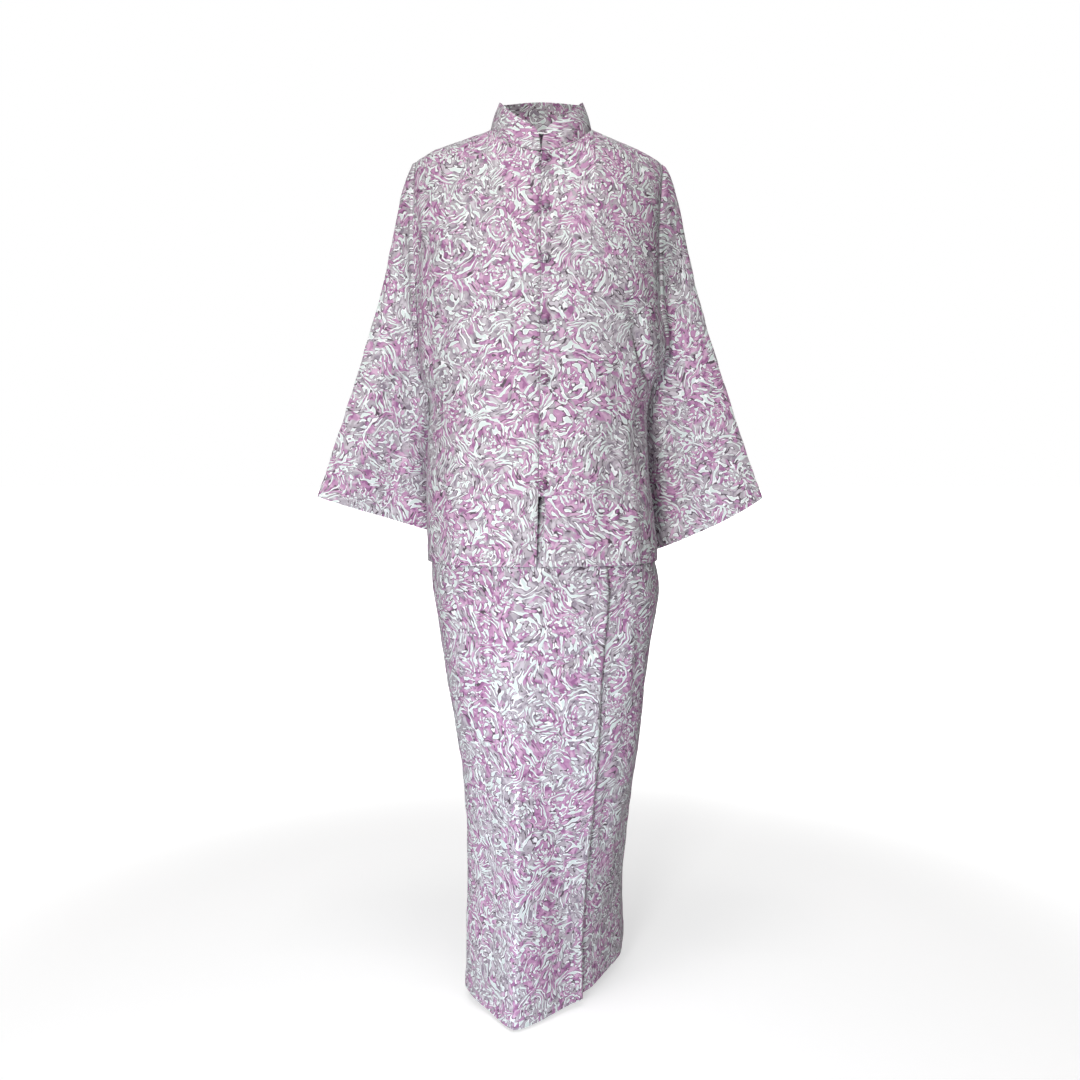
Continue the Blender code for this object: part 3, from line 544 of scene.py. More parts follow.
# creases of the sleeves, the same in front and behind
sleeveCreases = {
    -1: (
        (196, -130, 236, -330, 6, 6, -2.2, 1.2), (200, -330, 262, -400, 8, 5.5, -2.4, 1.4),
        (186, -400, 222, -530, 6, 6, 2.2, 1), (240, -400, 292, -500, -6, 7, -2, 1),
        (178, -260, 206, -370, 4, 4.5, -2.6, 1.6),
    ),
    1: (
        (176, -345, 236, -362, 10, 4, -2.6, 1.6), (174, -364, 226, -386, 10, 4, -2.2, 1.5),
        (190, -130, 226, -310, 6, 6.5, -2, 1), (186, -420, 214, -560, 5, 6, 2.2, 1),
        (236, -400, 286, -505, -6, 7, -2.2, 1.2),
    ),
}


def armholeRing(side):
    # the armhole's edge from the underarm up the front to the shoulder and down the back
    start = jacket["underarm"]
    # closer together towards the shoulder, where the edge turns over
    levels = start + (1 - start) * (1 - (1 - np.linspace(0, 1, sleeve["ringLevels"])) ** 1.3)
    place = np.array(jacket["shoulderTip"][side])
    edges = {}
    for face in (-1, 1):
        top = topEdge(side, face, place)[1]
        height = blend(jacket["hem"], top, levels)
        edges[face] = jacketPoint(side, face, edgeDistance(side, face, height), height)
    front, back = edges[-1], edges[1][::-1]
    low, top = (front[0] + back[-1]) / 2, (front[-1] + back[0]) / 2
    ring = np.concatenate([low[None], front[1:-1], top[None], back[1:-1]])
    faces = np.concatenate([np.full(len(front) - 1, -1.0), np.full(len(back) - 1, 1.0)])
    return ring, faces


def hump(place, middle, halfLength, amount):
    return amount * np.exp(-(((place - middle) / halfLength) ** 2))


def sleeveGrid(side):
    ring, face = armholeRing(side)
    start = np.stack([side * (np.abs(ring[:, 0]) + cloth["seamGap"]), ring[:, 1], ring[:, 2]], -1)[None]
    share = np.linspace(0, 1, sleeve["rows"])[:, None]
    tip, lowHeight = tipHeight(side), underarm(side)
    down = ((tip - ring[:, 2]) / (tip - lowHeight))[None]
    turn = np.arccos(np.clip(1 - 2 * down, -1, 1)) / math.pi
    top = np.array([jacket["shoulderTip"][side], 0.0, tip])
    low = np.array([float(halfWidth(side, lowHeight)), 0.0, lowHeight])
    outer, inner = np.array(sleeve["cuffOuter"][side]), np.array(sleeve["cuffInner"][side])
    s = share[:, 0]
    wave = np.maximum(np.sin(math.pi * s), 0)
    upper = blend(top, outer, share)
    upper[:, 0] += hump(s, *sleeve["headBump"]) - sleeve["topHollow"] * wave
    lower = blend(low, inner, share)
    lower[:, 0] += hump(s, *sleeve["underarmBump"]) - sleeve["lowHollow"][side] * wave ** sleeve["lowPower"]
    lower[:, 1] = inner[1] * (1 - (1 - s) ** sleeve["swingPower"])
    half = blend(sleeve["halfDepth"], sleeve["cuffHalfDepth"], share)
    profile = np.maximum(np.sin(math.pi * turn), 0) ** sleeve["profilePower"]
    folds = sum(hump(turn, *fold) for fold in sleeveFolds) * smooth(share, 0.1, 0.6)
    point = blend(upper[:, None], lower[:, None], down[..., None])
    point[..., 1] += face[None] * profile * (half + folds)
    point[..., 2] += sleeve["cuffCurve"][side] * np.sin(math.pi * down) * share
    point[..., 0] *= side
    point = blend(start, point, smooth(share, 0, sleeve["start"])[..., None])
    # all of this begins at the armhole, where the sleeve stays sewn on
    sewn = smooth(share, 0, 0.1)
    head = hump(share, *sleeve["headOutAt"], sleeve["headOut"]) * (1 - smooth(turn, 0, 0.55))
    point[..., 0] += side * head * sewn
    fromBody = np.abs(point[..., 0]) - halfWidth(side, point[..., 2])
    beside = np.exp(-np.maximum(fromBody, 0) / sleeve["setBackWithin"])
    beside *= 1 - smooth(point[..., 2], *sleeve["setBackFrom"])
    beside *= 1 - smooth(share, *sleeve["setBackUntil"])
    point[..., 1] += sleeve["setBack"] * beside * sewn
    # the sleeve hangs just clear of the jacket's side
    x, y, z = np.abs(point[..., 0]), point[..., 1], point[..., 2]
    clear = sleeve["clearance"] * smooth(share, 0, 0.15)
    body = np.zeros(y.shape)
    for way in (-1, 1):
        left = np.maximum(turnover(aboveChest(side, way, x, z)), 0.05)
        part = np.minimum(np.abs(y) / (bodyDepth(way, z) * left), 1.0)
        reach = halfWidth(side, z) * (1 - part ** jacket["sectionPower"]) ** (1 / jacket["sectionPower"])
        body = np.where((y < 0) == (way < 0), reach, body)
    touching = (clear > 0) & (x < body + clear)
    point[..., 0] = np.where(touching, side * (body + clear), point[..., 0])
    return point


def sleeveCut(side, grid):
    # places on the sleeve's cut: along its outer fold, and round from there to the underarm seam
    closed = closeRound(grid)
    start = np.array([jacket["shoulderTip"][side], tipHeight(side)])
    end = np.array(sleeve["cuffOuter"][side])[[0, 2]]
    way = (end - start) / np.linalg.norm(end - start)
    x, z = np.abs(closed[..., 0]) - start[0], closed[..., 2] - start[1]
    v = x * way[0] + z * way[1]
    across = z * way[0] - x * way[1]
    steps = np.hypot(np.diff(across, axis=1), np.diff(closed[..., 1], axis=1))
    u = walk(steps, 1)
    middle = sleeve["ringLevels"] - 1
    return u - u[:, middle:middle + 1], v


def buildSleeves():
    made = []
    for side, name, seed in ((-1, "sleeveRight", 17), (1, "sleeveLeft", 19)):
        grid = sleeveGrid(side)
        cut = sleeveCut(side, grid)
        walked = clothCoordinates(grid, True)[1][:, :-1]
        u, v = cut[0][:, :-1], cut[1][:, :-1]
        # the waves die out towards the underarm seam, where the cut's two edges meet
        near = np.minimum(u - u[:, :1], cut[0][:, -1:] - u)
        relief = cloth["unevenness"] * unevenness(u, v, seed) * smooth(near, 0, 0.025)
        relief = relief + creases(sleeveCreases[side], np.abs(grid[..., 0]), grid[..., 2])
        relief = relief * smooth(walked, 0.004, 0.03) + armholeDip(walked, grid[..., 2])
        relief = relief + hemStep(walked[-1:] - walked)
        made.append(shell(name, grid, (-side, 0, -1), relief, (3.0 + side, 0.5), around=True, flatCut=cut))
    print("sleeves made")
    return made


# The skirt: sizes of the form, as in the solids

skirt = {
    "top": -0.41, "hem": -1.258, "hipSide": 0.16, "hipFront": 0.118, "hipBack": 0.11, "hipPower": 2.3,
    "waistDepth": 0.8, "hipFull": -0.59, "sideBlend": 0.03, "hemCentre": (0.012, 0.04),
    "cornerCut": 0.09, "laterCut": 0.25, "cornerRounds": 4, "hemRise": 0.03,
    "edgeAtWaist": -49.5, "edgeAtHem": -53.0, "rightSeam": -176.0, "leftSeam": 12.0, "underlap": 34.0,
    "inset": 0.0049, "liftTop": 0.004, "liftHem": 0.0085,
    "edgeRoll": 0.004, "edgeRollWidth": 0.005, "towardsEdge": 1.45, "edgeDegrees": 30.0, "easeDegrees": 22.0,
    "bandHeight": 0.03, "bandColumns": 150, "bandRows": 12,
    "rows": 230, "overColumns": 100, "backColumns": 112, "underColumns": 60,
}

# height, half width at the wearer's right, at the left, turn from hip to hem shape
skirtSections = (
    (-0.41, 0.118, 0.122, 0.00),
    (-0.5, 0.143, 0.148, 0.00),
    (-0.56, 0.154, 0.159, 0.00),
    (-0.602, 0.1575, 0.1642, 0.00),
    (-0.64, 0.156, 0.1705, 0.02),
    (-0.7, 0.147, 0.163, 0.07),
    (-0.783, 0.135, 0.153, 0.2),
    (-0.88, 0.119, 0.147, 0.42),
    (-0.96, 0.111, 0.14, 0.6),
    (-1.054, 0.109, 0.133, 0.8),
    (-1.14, 0.1105, 0.131, 0.93),
    (-1.258, 0.1127, 0.134, 1.00),
)

# corners of the hem seen from above, from the wrap's edge round by the wearer's right
hemCorners = ((0.06, -0.014), (-0.037, -0.108), (-0.1145, 0.012), (-0.05, 0.122), (0.028, 0.184),
              (0.134, 0.17), (0.121, 0.085))

# large folds: direction, height, half width in degrees, half length, lean in degrees a metre, depth
skirtFolds = (
    (-150, -0.66, 9, 0.1, 10, 0.0035),
    (-97, -1.12, 9, 0.15, 0, 0.0035),
    (-132, -1.1, 14, 0.2, 0, -0.004),
    (-30, -0.95, 10, 0.2, 20, -0.004),
    (100, -0.8, 14, 0.16, 25, 0.0045),
    (132, -0.98, 15, 0.2, -15, -0.005),
    (62, -1.02, 13, 0.2, 15, -0.005),
)

overCreases = (
    (-105, -600, -103, -770, 1, 3.2, -2, 1), (-30, -850, -35.5, -1235, 1, 4.2, 2.2, 1),
    (98, -694, 6, -742, -5, 8, -12, 2.2), (98, -710, 6, -758, -5, 8, 5, 1),
    (-10, -690, 42, -660, 4, 6, -1.8, 1.2), (30, -790, 78, -752, 5, 7, -2.2, 1.4),
    (-85, -820, -70, -1000, 4, 8, -1.8, 1), (30, -900, 22, -1120, 3, 8, -1.6, 1),
    (-65, -620, -52, -700, 3, 6, -1.4, 1),
)
underCreases = (
    (108, -630, 102, -830, 4, 8, -3.4, 1.4), (130, -640, 124, -800, 3, 6, 2.4, 1),
    (98, -840, 94, -1080, 3, 7, -2.4, 1),
)
skirtBackCreases = (
    (20, -640, 30, -860, 6, 8, -2.4, 1.2), (-70, -660, -50, -900, -5, 8.5, 2.2, 1),
    (86, -680, 74, -960, 6, 8, -2.6, 1.3), (-20, -860, 6, -1150, 5, 8, -2.2, 1),
    (60, -980, 64, -1200, -4, 7, 2, 1),
)


def hemOutline():
    points = np.array(hemCorners)
    for turn in range(skirt["cornerRounds"]):
        cut = skirt["cornerCut"] if turn == 0 else skirt["laterCut"]
        ahead = np.roll(points, -1, axis=0)
        points = np.stack([blend(points, ahead, cut), blend(ahead, points, cut)], 1).reshape(-1, 2)
    offset = points - np.array(skirt["hemCentre"])
    angles = np.degrees(np.arctan2(offset[:, 1], offset[:, 0]))
    order = np.argsort(angles)
    return angles[order], np.linalg.norm(offset, axis=1)[order]


hemAngles, hemRadii = hemOutline()


def skirtPlan(direction, height):
    turn = np.radians(direction)
    mix = along(skirtSections, height, 3)
    narrower = (1 - skirt["waistDepth"]) * smooth(height, skirt["hipFull"], skirt["top"])
    deep = np.where(np.sin(turn) < 0, skirt["hipFront"], skirt["hipBack"]) * (1 - narrower)
    power = skirt["hipPower"]
    oval = np.abs(np.cos(turn) / skirt["hipSide"]) ** power + np.abs(np.sin(turn) / deep) ** power
    far = np.interp(direction, hemAngles, hemRadii, period=360.0)
    radius = oval ** (-1 / power) * (1 - mix) + far * mix
    return (radius * np.cos(turn) + skirt["hemCentre"][0] * mix,
            radius * np.sin(turn) + skirt["hemCentre"][1] * mix)


def skirtWidths():
    rows = []
    for height, right, left, _ in skirtSections:
        x = skirtPlan(np.arange(0, 360, 3.0), np.full(120, height))[0]
        rows.append((height, right / -x.min(), left / x.max()))
    return rows


skirtStretch = skirtWidths()


def skirtPoint(direction, height):
    x, y = skirtPlan(direction, height)
    right, left = along(skirtStretch, height, 1), along(skirtStretch, height, 2)
    lean = 0.5 + 0.5 * np.tanh(x / skirt["sideBlend"])
    rise = skirt["hemRise"] * smooth(-height, 0.8, -skirt["hem"]) * smooth(y, -0.1, 0.16)
    bump = 1 + softFolds(skirtFolds, direction, height, 360.0) / np.hypot(x, y)
    return np.stack([x * bump * blend(right, left, lean), y * bump, height + rise], -1)


def skirtOutward(direction, height):
    way = unit(skirtPoint(direction + 1.0, height) - skirtPoint(direction - 1.0, height))
    return np.stack([way[..., 1], -way[..., 0], 0 * way[..., 0]], -1)


def skirtRelief(grid, table, seed, ends):
    u, v = clothCoordinates(grid, False)
    relief = creases(table, grid[..., 0], grid[..., 2]) + cloth["unevenness"] * unevenness(u, v, seed)
    for distance, sewn in zip((u - u[:, :1], u[:, -1:] - u), ends):
        relief = relief * smooth(distance, 0, 0.012)
        if sewn:
            relief = relief + edgeDip(distance)
        else:
            # a turned edge rounds off towards the cloth below it
            relief = relief - skirt["edgeRoll"] * np.maximum(1 - distance / skirt["edgeRollWidth"], 0) ** 2
    return relief * smooth(v, 0, 0.02) + hemStep(v[-1:] - v)


def buildSkirt():
    gap = math.degrees(cloth["seamGap"] / 2 / skirt["hipBack"])
    height = np.linspace(skirt["top"], skirt["hem"], skirt["rows"])[:, None]
    share = (skirt["top"] - height) / (skirt["top"] - skirt["hem"])
    edge = blend(skirt["edgeAtWaist"], skirt["edgeAtHem"], share)
    lift = blend(skirt["liftTop"], skirt["liftHem"], share**2)
    columns = np.linspace(0, 1, skirt["overColumns"])[None] ** skirt["towardsEdge"]
    direction = blend(edge, skirt["rightSeam"] + gap, columns)
    nearEdge = np.maximum(1 - np.abs(direction - edge) / skirt["edgeDegrees"], 0) ** 2
    over = skirtPoint(direction, height) + skirtOutward(direction, height) * (lift * nearEdge)[..., None]
    start, end = skirt["rightSeam"] + 360.0 - gap, skirt["leftSeam"] + gap
    back = skirtPoint(blend(start, end, np.linspace(0, 1, skirt["backColumns"])[None]), height)
    start, end = skirt["leftSeam"] - gap, edge - skirt["underlap"]
    direction = blend(start, end, np.linspace(0, 1, skirt["underColumns"])[None])
    ease = 1 - smooth(direction, edge, edge + skirt["easeDegrees"])
    inset = skirt["inset"] * ease[..., None]
    under = skirtPoint(direction, height) - skirtOutward(direction, height) * inset
    made = []
    for name, grid, outward, table, seed, ends, calm, place in (
        ("skirtFrontOver", over, (0.3, -1, 0), overCreases, 23, (False, True), 1, 5.2),
        ("skirtBack", back, (-1, 0, 0), skirtBackCreases, 29, (True, True), 1, 6.4),
        ("skirtFrontUnder", under, (1, 0, 0), underCreases, 31, (True, False), 1 - 0.9 * ease, 7.3),
    ):
        made.append(shell(name, grid, outward, skirtRelief(grid, table, seed, ends) * calm, (place, 0.6)))
    print("skirt made")
    return made


def buildWaistband():
    gap = math.degrees(cloth["seamGap"] / 2 / skirt["hipBack"])
    start = skirt["edgeAtWaist"] - skirt["underlap"]
    direction = np.linspace(start + gap, start + 360.0 - gap, skirt["bandColumns"])[None]
    rise = np.linspace(0, skirt["bandHeight"], skirt["bandRows"])[:, None]
    grid = np.repeat(skirtPoint(direction, np.array([[skirt["top"]]])), len(rise), axis=0)
    grid[..., 2] = skirt["top"] + cloth["seamGap"] + rise
    return shell("skirtWaistband", grid, (0, -1, 0), np.zeros(grid.shape[:2]), (8.4, 0.2))


# Ball buttons and their loops

button = {
    "heights": (-0.0571, -0.1249, -0.1948, -0.2739, -0.3534, -0.4257, -0.493),
    "radius": 0.0056, "offset": 0.0056, "flattening": 0.82, "rings": 26, "sides": 40,
    "cord": 0.0013, "leg": 0.0095, "hug": 0.9, "mouth": 0.45, "bendPoints": 33, "loopSides": 14,
    "knotDepth": 0.001, "knotTurns": 3, "knotSlant": 3.2, "poleCut": 0.06, "legBow": 0.0006,
}


def frontSurface(x, height):
    side = 1 if x >= 0 else -1
    point = jacketPoint(side, -1, np.array(abs(x)), np.array(height))
    below = jacketPoint(side, -1, np.array(abs(x)), np.array(height - 0.004))
    rise = unit(point - below)
    return point, unit(np.cross(sideways, rise)), rise


def tube(name, rings):
    # rings of points with both ends closed by fans
    count, around = rings.shape[:2]
    size = count * around
    points = np.concatenate([rings.reshape(-1, 3), rings[0].mean(0)[None], rings[-1].mean(0)[None]])
    faces = []
    for j in range(around):
        k = (j + 1) % around
        faces += [(i + j, i + k, i + k + around, i + j + around) for i in range(0, size - around, around)]
        faces += [(size, k, j), (size + 1, size - around + j, size - around + k)]
    uv = np.array([(points[v, 0] + 9.0, points[v, 2]) for face in faces for v in face])
    return meshObject(name, points, faces, uv, sharp=None)


def circle(count):
    turn = np.linspace(0, 2 * math.pi, count, endpoint=False)[:, None]
    return turn, np.cos(turn), np.sin(turn)


def buildButtons():
    made = []
    for number, height in enumerate(button["heights"], 1):
        line = float(frontEdge(1, np.array(max(height, jacket["slitTop"] + jacket["slitStep"]))))
        foot, out, rise = frontSurface(line + button["offset"], height)
        turn, cos, sin = circle(button["sides"])
        cut = button["poleCut"] * math.pi
        polar = np.linspace(cut, math.pi - cut, button["rings"])[:, None, None]
        lift = button["radius"] * button["flattening"] * (1 + np.cos(polar)) + cloth["seamGap"]
        # rounds of the knotted tube that spiral over the ball
        knot = np.abs(np.sin(button["knotTurns"] * turn / 2 + button["knotSlant"] * polar + number))
        radius = np.sin(polar) * (button["radius"] - button["knotDepth"] * (1 - knot) ** 2)
        ball = tube(f"ballButton{number}", foot + (sideways * cos + rise * sin) * radius + out * lift)
        made += [(ball, f"button_{number}"), (buildLoop(number, foot, out, rise), f"loop_{number}")]
    print("buttons and loops made")
    return made


def buildLoop(number, foot, out, rise):
    reach = button["radius"] * button["hug"] + button["cord"] + cloth["seamGap"]
    level = button["cord"] + cloth["seamGap"] * 1.5
    share = np.linspace(0, 0.93, 10)[:, None]    # each leg stops just short of the bend
    legs = []
    for way in (1, -1):
        end = foot - sideways * button["leg"] + rise * reach * button["mouth"] * way
        root = foot + rise * reach * way
        legs.append(end + (root - end) * share + rise * way * button["legBow"] * np.sin(math.pi * share))
    turn = np.linspace(math.pi / 2, -math.pi / 2, button["bendPoints"])[:, None]
    bend = foot + sideways * reach * np.cos(turn) + rise * reach * np.sin(turn)
    path = np.concatenate([legs[0], bend, legs[1][::-1]]) + out * level
    beside = unit(np.cross(unit(np.gradient(path, axis=0)), out))
    turn, cos, sin = circle(button["loopSides"])
    return tube(f"buttonLoop{number}", path[:, None] + button["cord"] * (beside[:, None] * cos + out * sin))


# Materials

def linear(hexColour):
    values = [int(hexColour[k:k + 2], 16) / 255 for k in (1, 3, 5)]
    return tuple(v / 12.92 if v <= 0.04045 else ((v + 0.055) / 1.055) ** 2.4 for v in values) + (1.0,)


def fill(tree, socket, value):
    if isinstance(value, bpy.types.NodeSocket):
        tree.links.new(value, socket)
    else:
        socket.default_value = linear(value) if isinstance(value, str) else value


def add(tree, kind, *inputs, **settings):
    # Adds a node and gives back its first output. kind may end in the node's operation. The inputs come in
    # their order, or by name in a dictionary.
    kind, *operation = kind.split()
    node = tree.nodes.new("ShaderNode" + kind)
    for name, value in [*settings.items(), *zip(["operation"], operation)]:
        setattr(node, name, value)
    named = inputs[0] if inputs and isinstance(inputs[0], dict) else dict(enumerate(inputs))
    for name, value in named.items():
        fill(tree, node.inputs[name], value)
    return node.outputs[0] if len(node.outputs) else None


def startMaterial(name):
    material = bpy.data.materials.new(name)
    material.use_nodes = True
    tree = material.node_tree
    shader = tree.nodes["Principled BSDF"]
    return material, tree, shader


printed = {
    "grey": "#ADA4AD",        # the two dyed grounds
    "mauve": "#B585AB",
    "paleGrey": "#C7C0C8",    # weaker washes of the same dyes
    "palePink": "#CCA8C3",
    "deepGrey": "#8E8290",    # overlapping washes
    "deepMauve": "#965F8D",
    "outline": "#4E3F4B",     # darker rim where dye gathered against the resist
    "white": "#F3F3F6",       # cloth that the resist kept bare
    "mint": "#D6E1DE",        # thin wash inside the broad strokes
    "bundleMm": 33.0,         # patches of strokes that lie side by side
    "bundleReachMm": 52.0,    # how far from its patch a bundle's bend has its middle
    "whorlMm": 72.0,          # spacing of the round whorls
    "whorlSizeMm": 29.0, "whorlReachMm": 0.0,
    "bundleStrokeMm": 5.4,    # a white stroke and its gap
    "whorlStrokeMm": 6.6,     # the whorls' strokes are bolder
    "strokeLeast": 0.85, "strokeSpread": 0.45,    # least and added closeness of the strokes in a patch
    "bundleBreaks": 3.4,      # how often a stroke is broken on its way round
    "whorlBreaks": 2.1,
    "bendMm": 40.0, "bendBy": 0.02, "wobbleMm": 9.0, "wobbleBy": 0.0045,
    "blotchMm": 16.0, "zoneMm": 85.0,
    "breaks": 4.4,            # how strongly the strokes are broken up
    "whiteFrom": 0.84,
    "rimWidth": 0.34,
    "yarnMm": 0.9,            # real yarns are near 0.3 mm, drawn coarser so that they show
    "roughness": 0.6,
    "sheen": 0.03,
}


# the buttons' bias strips, with finer strokes: their grounds are darker and their white strokes fewer than on
# the cloth, as painted shade for the dark knots and the shade under each ball
knotted = {"grey": "#8D8290", "mauve": "#95638C", "paleGrey": "#A79EAA", "palePink": "#B184A8",
           "bundleStrokeMm": 4.4, "whorlStrokeMm": 4.4, "whiteFrom": 1.1, "rimWidth": 0.55,
           "wobbleBy": 0.003}


def uneven(tree, place, sizeMm, detail=1.0, distortion=0.0):
    return add(tree, "TexNoise", {"Vector": place, "Scale": 1000.0 / sizeMm, "Detail": detail,
                                  "Distortion": distortion}, noise_dimensions="2D")


def bendPlace(tree, place, sizeMm, distance):
    # moves the places on the cloth about, so that straight strokes come out bent
    colour = uneven(tree, place, sizeMm).node.outputs["Color"]
    centred = add(tree, "VectorMath SUBTRACT", colour, (0.5, 0.5, 0.5))
    return add(tree, "VectorMath SCALE", {0: centred, "Scale": distance})


def strokes(tree, place, values, kind, offset, spiral):
    # Strokes side by side on arcs round one point for each patch, broken at uneven places.
    # Gives their strength, the distance from the patch's middle and a number drawn for the patch.
    moved = add(tree, "VectorMath ADD", place, offset)
    cells = {"Vector": moved, "Scale": 1000.0 / values[kind + "Mm"], "Randomness": 0.95}
    cells = add(tree, "TexVoronoi", cells, voronoi_dimensions="2D").node
    local = add(tree, "VectorMath SUBTRACT", moved, cells.outputs["Position"])
    lot = add(tree, "SeparateColor", cells.outputs["Color"]).node
    aside = add(tree, "VectorMath SUBTRACT", cells.outputs["Color"], (0.5, 0.5, 0.5))
    reach = values[kind + "ReachMm"] / 500.0
    fromBend = add(tree, "VectorMath MULTIPLY_ADD", aside, (reach, reach, 0.0), local)
    radius = add(tree, "VectorMath LENGTH", fromBend).node.outputs["Value"]
    parts = add(tree, "SeparateXYZ", fromBend).node
    angle = add(tree, "Math ARCTAN2", parts.outputs[1], parts.outputs[0])
    perMetre = 1000.0 / values[kind + "StrokeMm"]
    finer = add(tree, "Math MULTIPLY_ADD", lot.outputs[1], values["strokeSpread"] * perMetre,
                values["strokeLeast"] * perMetre)
    winding = add(tree, "Math MULTIPLY", angle, spiral / (2 * math.pi))
    phase = add(tree, "Math MULTIPLY_ADD", radius, finer, winding)
    turns = add(tree, "Math MULTIPLY", phase, 2 * math.pi)
    wave = add(tree, "Math SINE", turns)
    # places for the breaks: round the arc, across the strokes, and another sheet of noise for each patch
    ray = add(tree, "VectorMath NORMALIZE", fromBend)
    level = add(tree, "Math MULTIPLY_ADD", lot.outputs[2], 40.0, phase)
    level = add(tree, "CombineXYZ", 0.0, 0.0, level)
    often = values[kind + "Breaks"]
    spot = add(tree, "VectorMath MULTIPLY_ADD", ray, (often, often, 0.0), level)
    breaks = add(tree, "TexNoise", {"Vector": spot, "Scale": 1.0, "Detail": 0.5}, noise_dimensions="3D")
    least = 0.5 - 0.5 * values["breaks"]
    broken = add(tree, "Math MULTIPLY_ADD", breaks, values["breaks"], least)
    strength = add(tree, "Math MULTIPLY_ADD", wave, 0.5, broken)
    distance = add(tree, "VectorMath LENGTH", local).node.outputs["Value"]
    return strength, distance, lot.outputs[0]


def printedCotton(name, values):
    # Cotton sateen, resist printed: bare white strokes on two dyed grounds, dull with a slight sheen
    material, tree, shader = startMaterial(name)
    place = add(tree, "UVMap", uv_map="cloth")
    bend = bendPlace(tree, place, values["bendMm"], values["bendBy"])
    wobble = bendPlace(tree, place, values["wobbleMm"], values["wobbleBy"])
    bent = add(tree, "VectorMath ADD", place, bend)
    bent = add(tree, "VectorMath ADD", bent, wobble)
    bundle = strokes(tree, bent, values, "bundle", (4.1, 2.7, 0.0), 0.0)[0]
    whorl, middle, lot = strokes(tree, bent, values, "whorl", (9.3, 5.9, 0.0), 1.0)
    size = add(tree, "Math MULTIPLY", lot, values["whorlSizeMm"] / 1000.0)
    inWhorl = add(tree, "Math LESS_THAN", add(tree, "Math SUBTRACT", middle, 0.008), size)
    flow = add(tree, "Mix", {"Factor": inWhorl, "A": bundle, "B": whorl})
    blotch = uneven(tree, bent, values["blotchMm"], 1.0, 0.6)
    zone = uneven(tree, place, values["zoneMm"], 1.0, 0.0)
    ground = add(tree, "Mix", {"Factor": 0.42, "A": blotch, "B": zone})
    isMauve = add(tree, "MapRange", ground, 0.485, 0.515)
    wash = uneven(tree, bent, 8.5, 1.5, 0.4)
    isPale = add(tree, "MapRange", wash, 0.55, 0.6)
    isDeep = add(tree, "MapRange", wash, 0.42, 0.36)
    colour = mixColour(tree, isMauve, values["grey"], values["mauve"])
    pale = mixColour(tree, isMauve, values["paleGrey"], values["palePink"])
    deep = mixColour(tree, isMauve, values["deepGrey"], values["deepMauve"])
    colour = mixColour(tree, isDeep, mixColour(tree, isPale, colour, pale), deep)
    edge = values["whiteFrom"]
    isRim = add(tree, "MapRange", flow, edge - values["rimWidth"], edge - values["rimWidth"] * 0.68)
    isWhite = add(tree, "MapRange", flow, edge - 0.05, edge + 0.06)
    isMint = add(tree, "MapRange", flow, edge + 0.3, edge + 0.42)
    for factor, tint in ((isRim, values["outline"]), (isWhite, values["white"]), (isMint, values["mint"])):
        colour = mixColour(tree, factor, colour, tint)
    tree.links.new(colour, shader.inputs["Base Color"])
    shader.inputs["Roughness"].default_value = values["roughness"]
    shader.inputs["Sheen Weight"].default_value = values["sheen"]
    shader.inputs["Sheen Roughness"].default_value = 0.45
    weaveBump(tree, shader, place, values["yarnMm"])
    return material


def mixColour(tree, factor, under, over):
    return add(tree, "Mix", {"Factor": factor, 6: under, 7: over}, data_type="RGBA").node.outputs[2]


def weaveBump(tree, shader, place, yarnMm):
    scale = 1000.0 / yarnMm / 20
    warp = add(tree, "TexWave", {"Vector": place, "Scale": scale, "Distortion": 0.4}, bands_direction="X")
    weft = add(tree, "TexWave", {"Vector": place, "Scale": scale, "Distortion": 0.4}, bands_direction="Y")
    yarns = add(tree, "Math MULTIPLY", warp, weft)
    crumple = uneven(tree, place, 5.0, 3.0)
    height = add(tree, "Mix", {"Factor": 0.65, "A": yarns, "B": crumple})
    bump = add(tree, "Bump", {"Height": height, "Strength": 0.35, "Distance": 0.0006})
    tree.links.new(bump, shader.inputs["Normal"])


# Build it all

def dress(piece, material, nodes):
    piece.data.materials.clear()
    piece.data.materials.append(material)
    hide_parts(*nodes)
    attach(piece, "root")


cotton = printedCotton("printed cotton sateen", printed)
clothPieces = buildJacketBody() + [buildButtonStand(), buildCollar()] + buildSleeves() + buildSkirt()
clothPieces.append(buildWaistband())
clothNodes = ("jacket_front_right", "jacket_front_left", "jacket_back", "button_stand", "collar",
              "sleeve_right", "sleeve_left", "skirt_front_over", "skirt_back", "skirt_front_under",
              "skirt_waistband")
for (piece, flat, area), node in zip(clothPieces, clothNodes):
    dress(piece, cotton, [node])
    print(piece.name, "cut", flat, "area", area)

# a darker copy of the cotton for the buttons and loops: painted shade
knotCottonPaintedShade = printedCotton("knotted cotton sateen, painted shade", {**printed, **knotted})
for piece, node in buildButtons():
    dress(piece, knotCottonPaintedShade, [node])


# Camera, floor and light

studio = {
    "camera": (-0.0015, -1.60, -0.460), "pitchDegrees": 4.13, "lens": 36.93,
    "floorDrop": 0.004, "floorColour": "#F4F4F5", "floorGlow": 0.35, "floorClear": (0.75, 1.9),
    "floorShine": 1.65, "floorSize": 30.0,
    "ambient": 0.13, "backdrop": 1.0,
    "lights": (
        # name, place, height it is aimed at, size, power, colour
        ("front", (-0.78, -2.95, 0.0), -0.6, 0.6, 53.0, (1.0, 0.985, 0.96)),
        ("key", (-1.58, -1.82, 1.3), -0.6, 1.0, 5.0, (1.0, 1.0, 1.0)),
        ("overhead", (-0.15, -0.90, 2.5), -0.4, 1.0, 43.0, (1.0, 0.99, 0.97)),
        ("lowFill", (-0.20, -0.80, -1.20), -1.25, 0.4, 3.8, (0.74, 0.82, 1.0)),
        ("behind", (0.4, 3.2, 0.9), -0.6, 2.4, 18.0, (1.0, 1.0, 1.0)),
    ),
}


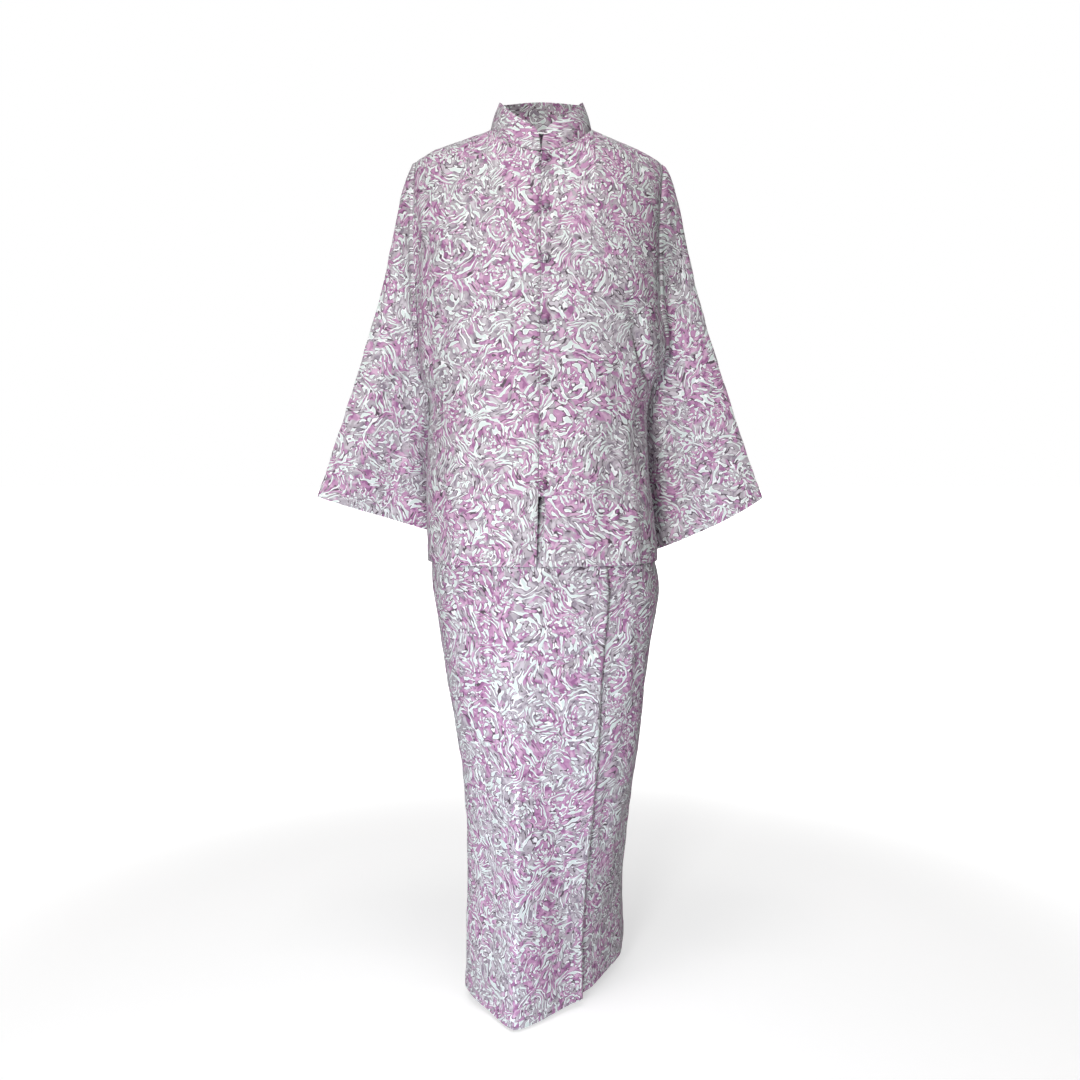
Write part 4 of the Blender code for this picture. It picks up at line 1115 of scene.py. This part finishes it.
def buildFloor():
    # a pale floor that keeps soft shadows near the clothes and runs out into the white backdrop
    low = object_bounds()[0].z - studio["floorDrop"]
    wide = studio["floorSize"]
    corners = np.array([(-wide, -wide, low), (wide, -wide, low), (wide, wide, low), (-wide, wide, low)])
    floor = meshObject("studioFloor", corners, np.array([(0, 1, 2, 3)]))
    material, tree, shader = startMaterial("painted studio floor")
    shader.inputs["Base Color"].default_value = linear(studio["floorColour"])
    shader.inputs["Roughness"].default_value = 0.9
    place = add(tree, "NewGeometry")
    parts = add(tree, "VectorMath MULTIPLY", place, (1.0, 1.0, 0.0))
    away = add(tree, "VectorMath LENGTH", parts).node.outputs["Value"]
    glow = add(tree, "MapRange", away, *studio["floorClear"], studio["floorGlow"], 1.0,
               interpolation_type="SMOOTHSTEP")
    # the glow is for the eye alone, so that it doesn't light the clothes from below
    seen = add(tree, "LightPath").node.outputs["Is Camera Ray"]
    glow = add(tree, "Math MULTIPLY", glow, seen)
    light = add(tree, "Emission", {"Color": (1, 1, 1, 1), "Strength": studio["floorShine"]})
    mix = add(tree, "MixShader", {0: glow, 1: shader.outputs[0], 2: light})
    tree.links.new(mix, tree.nodes["Material Output"].inputs["Surface"])
    floor.data.materials.append(material)


def buildStudio():
    scene = bpy.context.scene
    camera = bpy.data.objects.new("camera", bpy.data.cameras.new("camera"))
    scene.collection.objects.link(camera)
    camera.location = studio["camera"]
    camera.rotation_euler = (math.radians(90 - studio["pitchDegrees"]), 0, 0)
    camera.data.lens = studio["lens"]
    camera.data.sensor_width = 36.0
    scene.camera = camera

    # the backdrop is white to the eye and lights the clothes less than it shows
    world = bpy.data.worlds.new("studio")
    world.use_nodes = True
    tree = world.node_tree
    seen = add(tree, "LightPath").node.outputs["Is Camera Ray"]
    strength = add(tree, "MapRange", seen, 0.0, 1.0, studio["ambient"], studio["backdrop"])
    tree.nodes["Background"].inputs["Color"].default_value = (1, 1, 1, 1)
    tree.links.new(strength, tree.nodes["Background"].inputs["Strength"])
    scene.world = world
    scene.view_settings.view_transform = "Standard"

    for name, place, aim, size, power, colour in studio["lights"]:
        light = bpy.data.objects.new(name, bpy.data.lights.new(name, "AREA"))
        light.data.size = size
        light.data.energy = power
        light.data.color = colour
        light.location = place
        light.visible_camera = False
        light.rotation_euler = (Vector((0.0, 0.0, aim)) - Vector(place)).to_track_quat("-Z", "Y").to_euler()
        scene.collection.objects.link(light)


buildFloor()
buildStudio()
print("studio made")
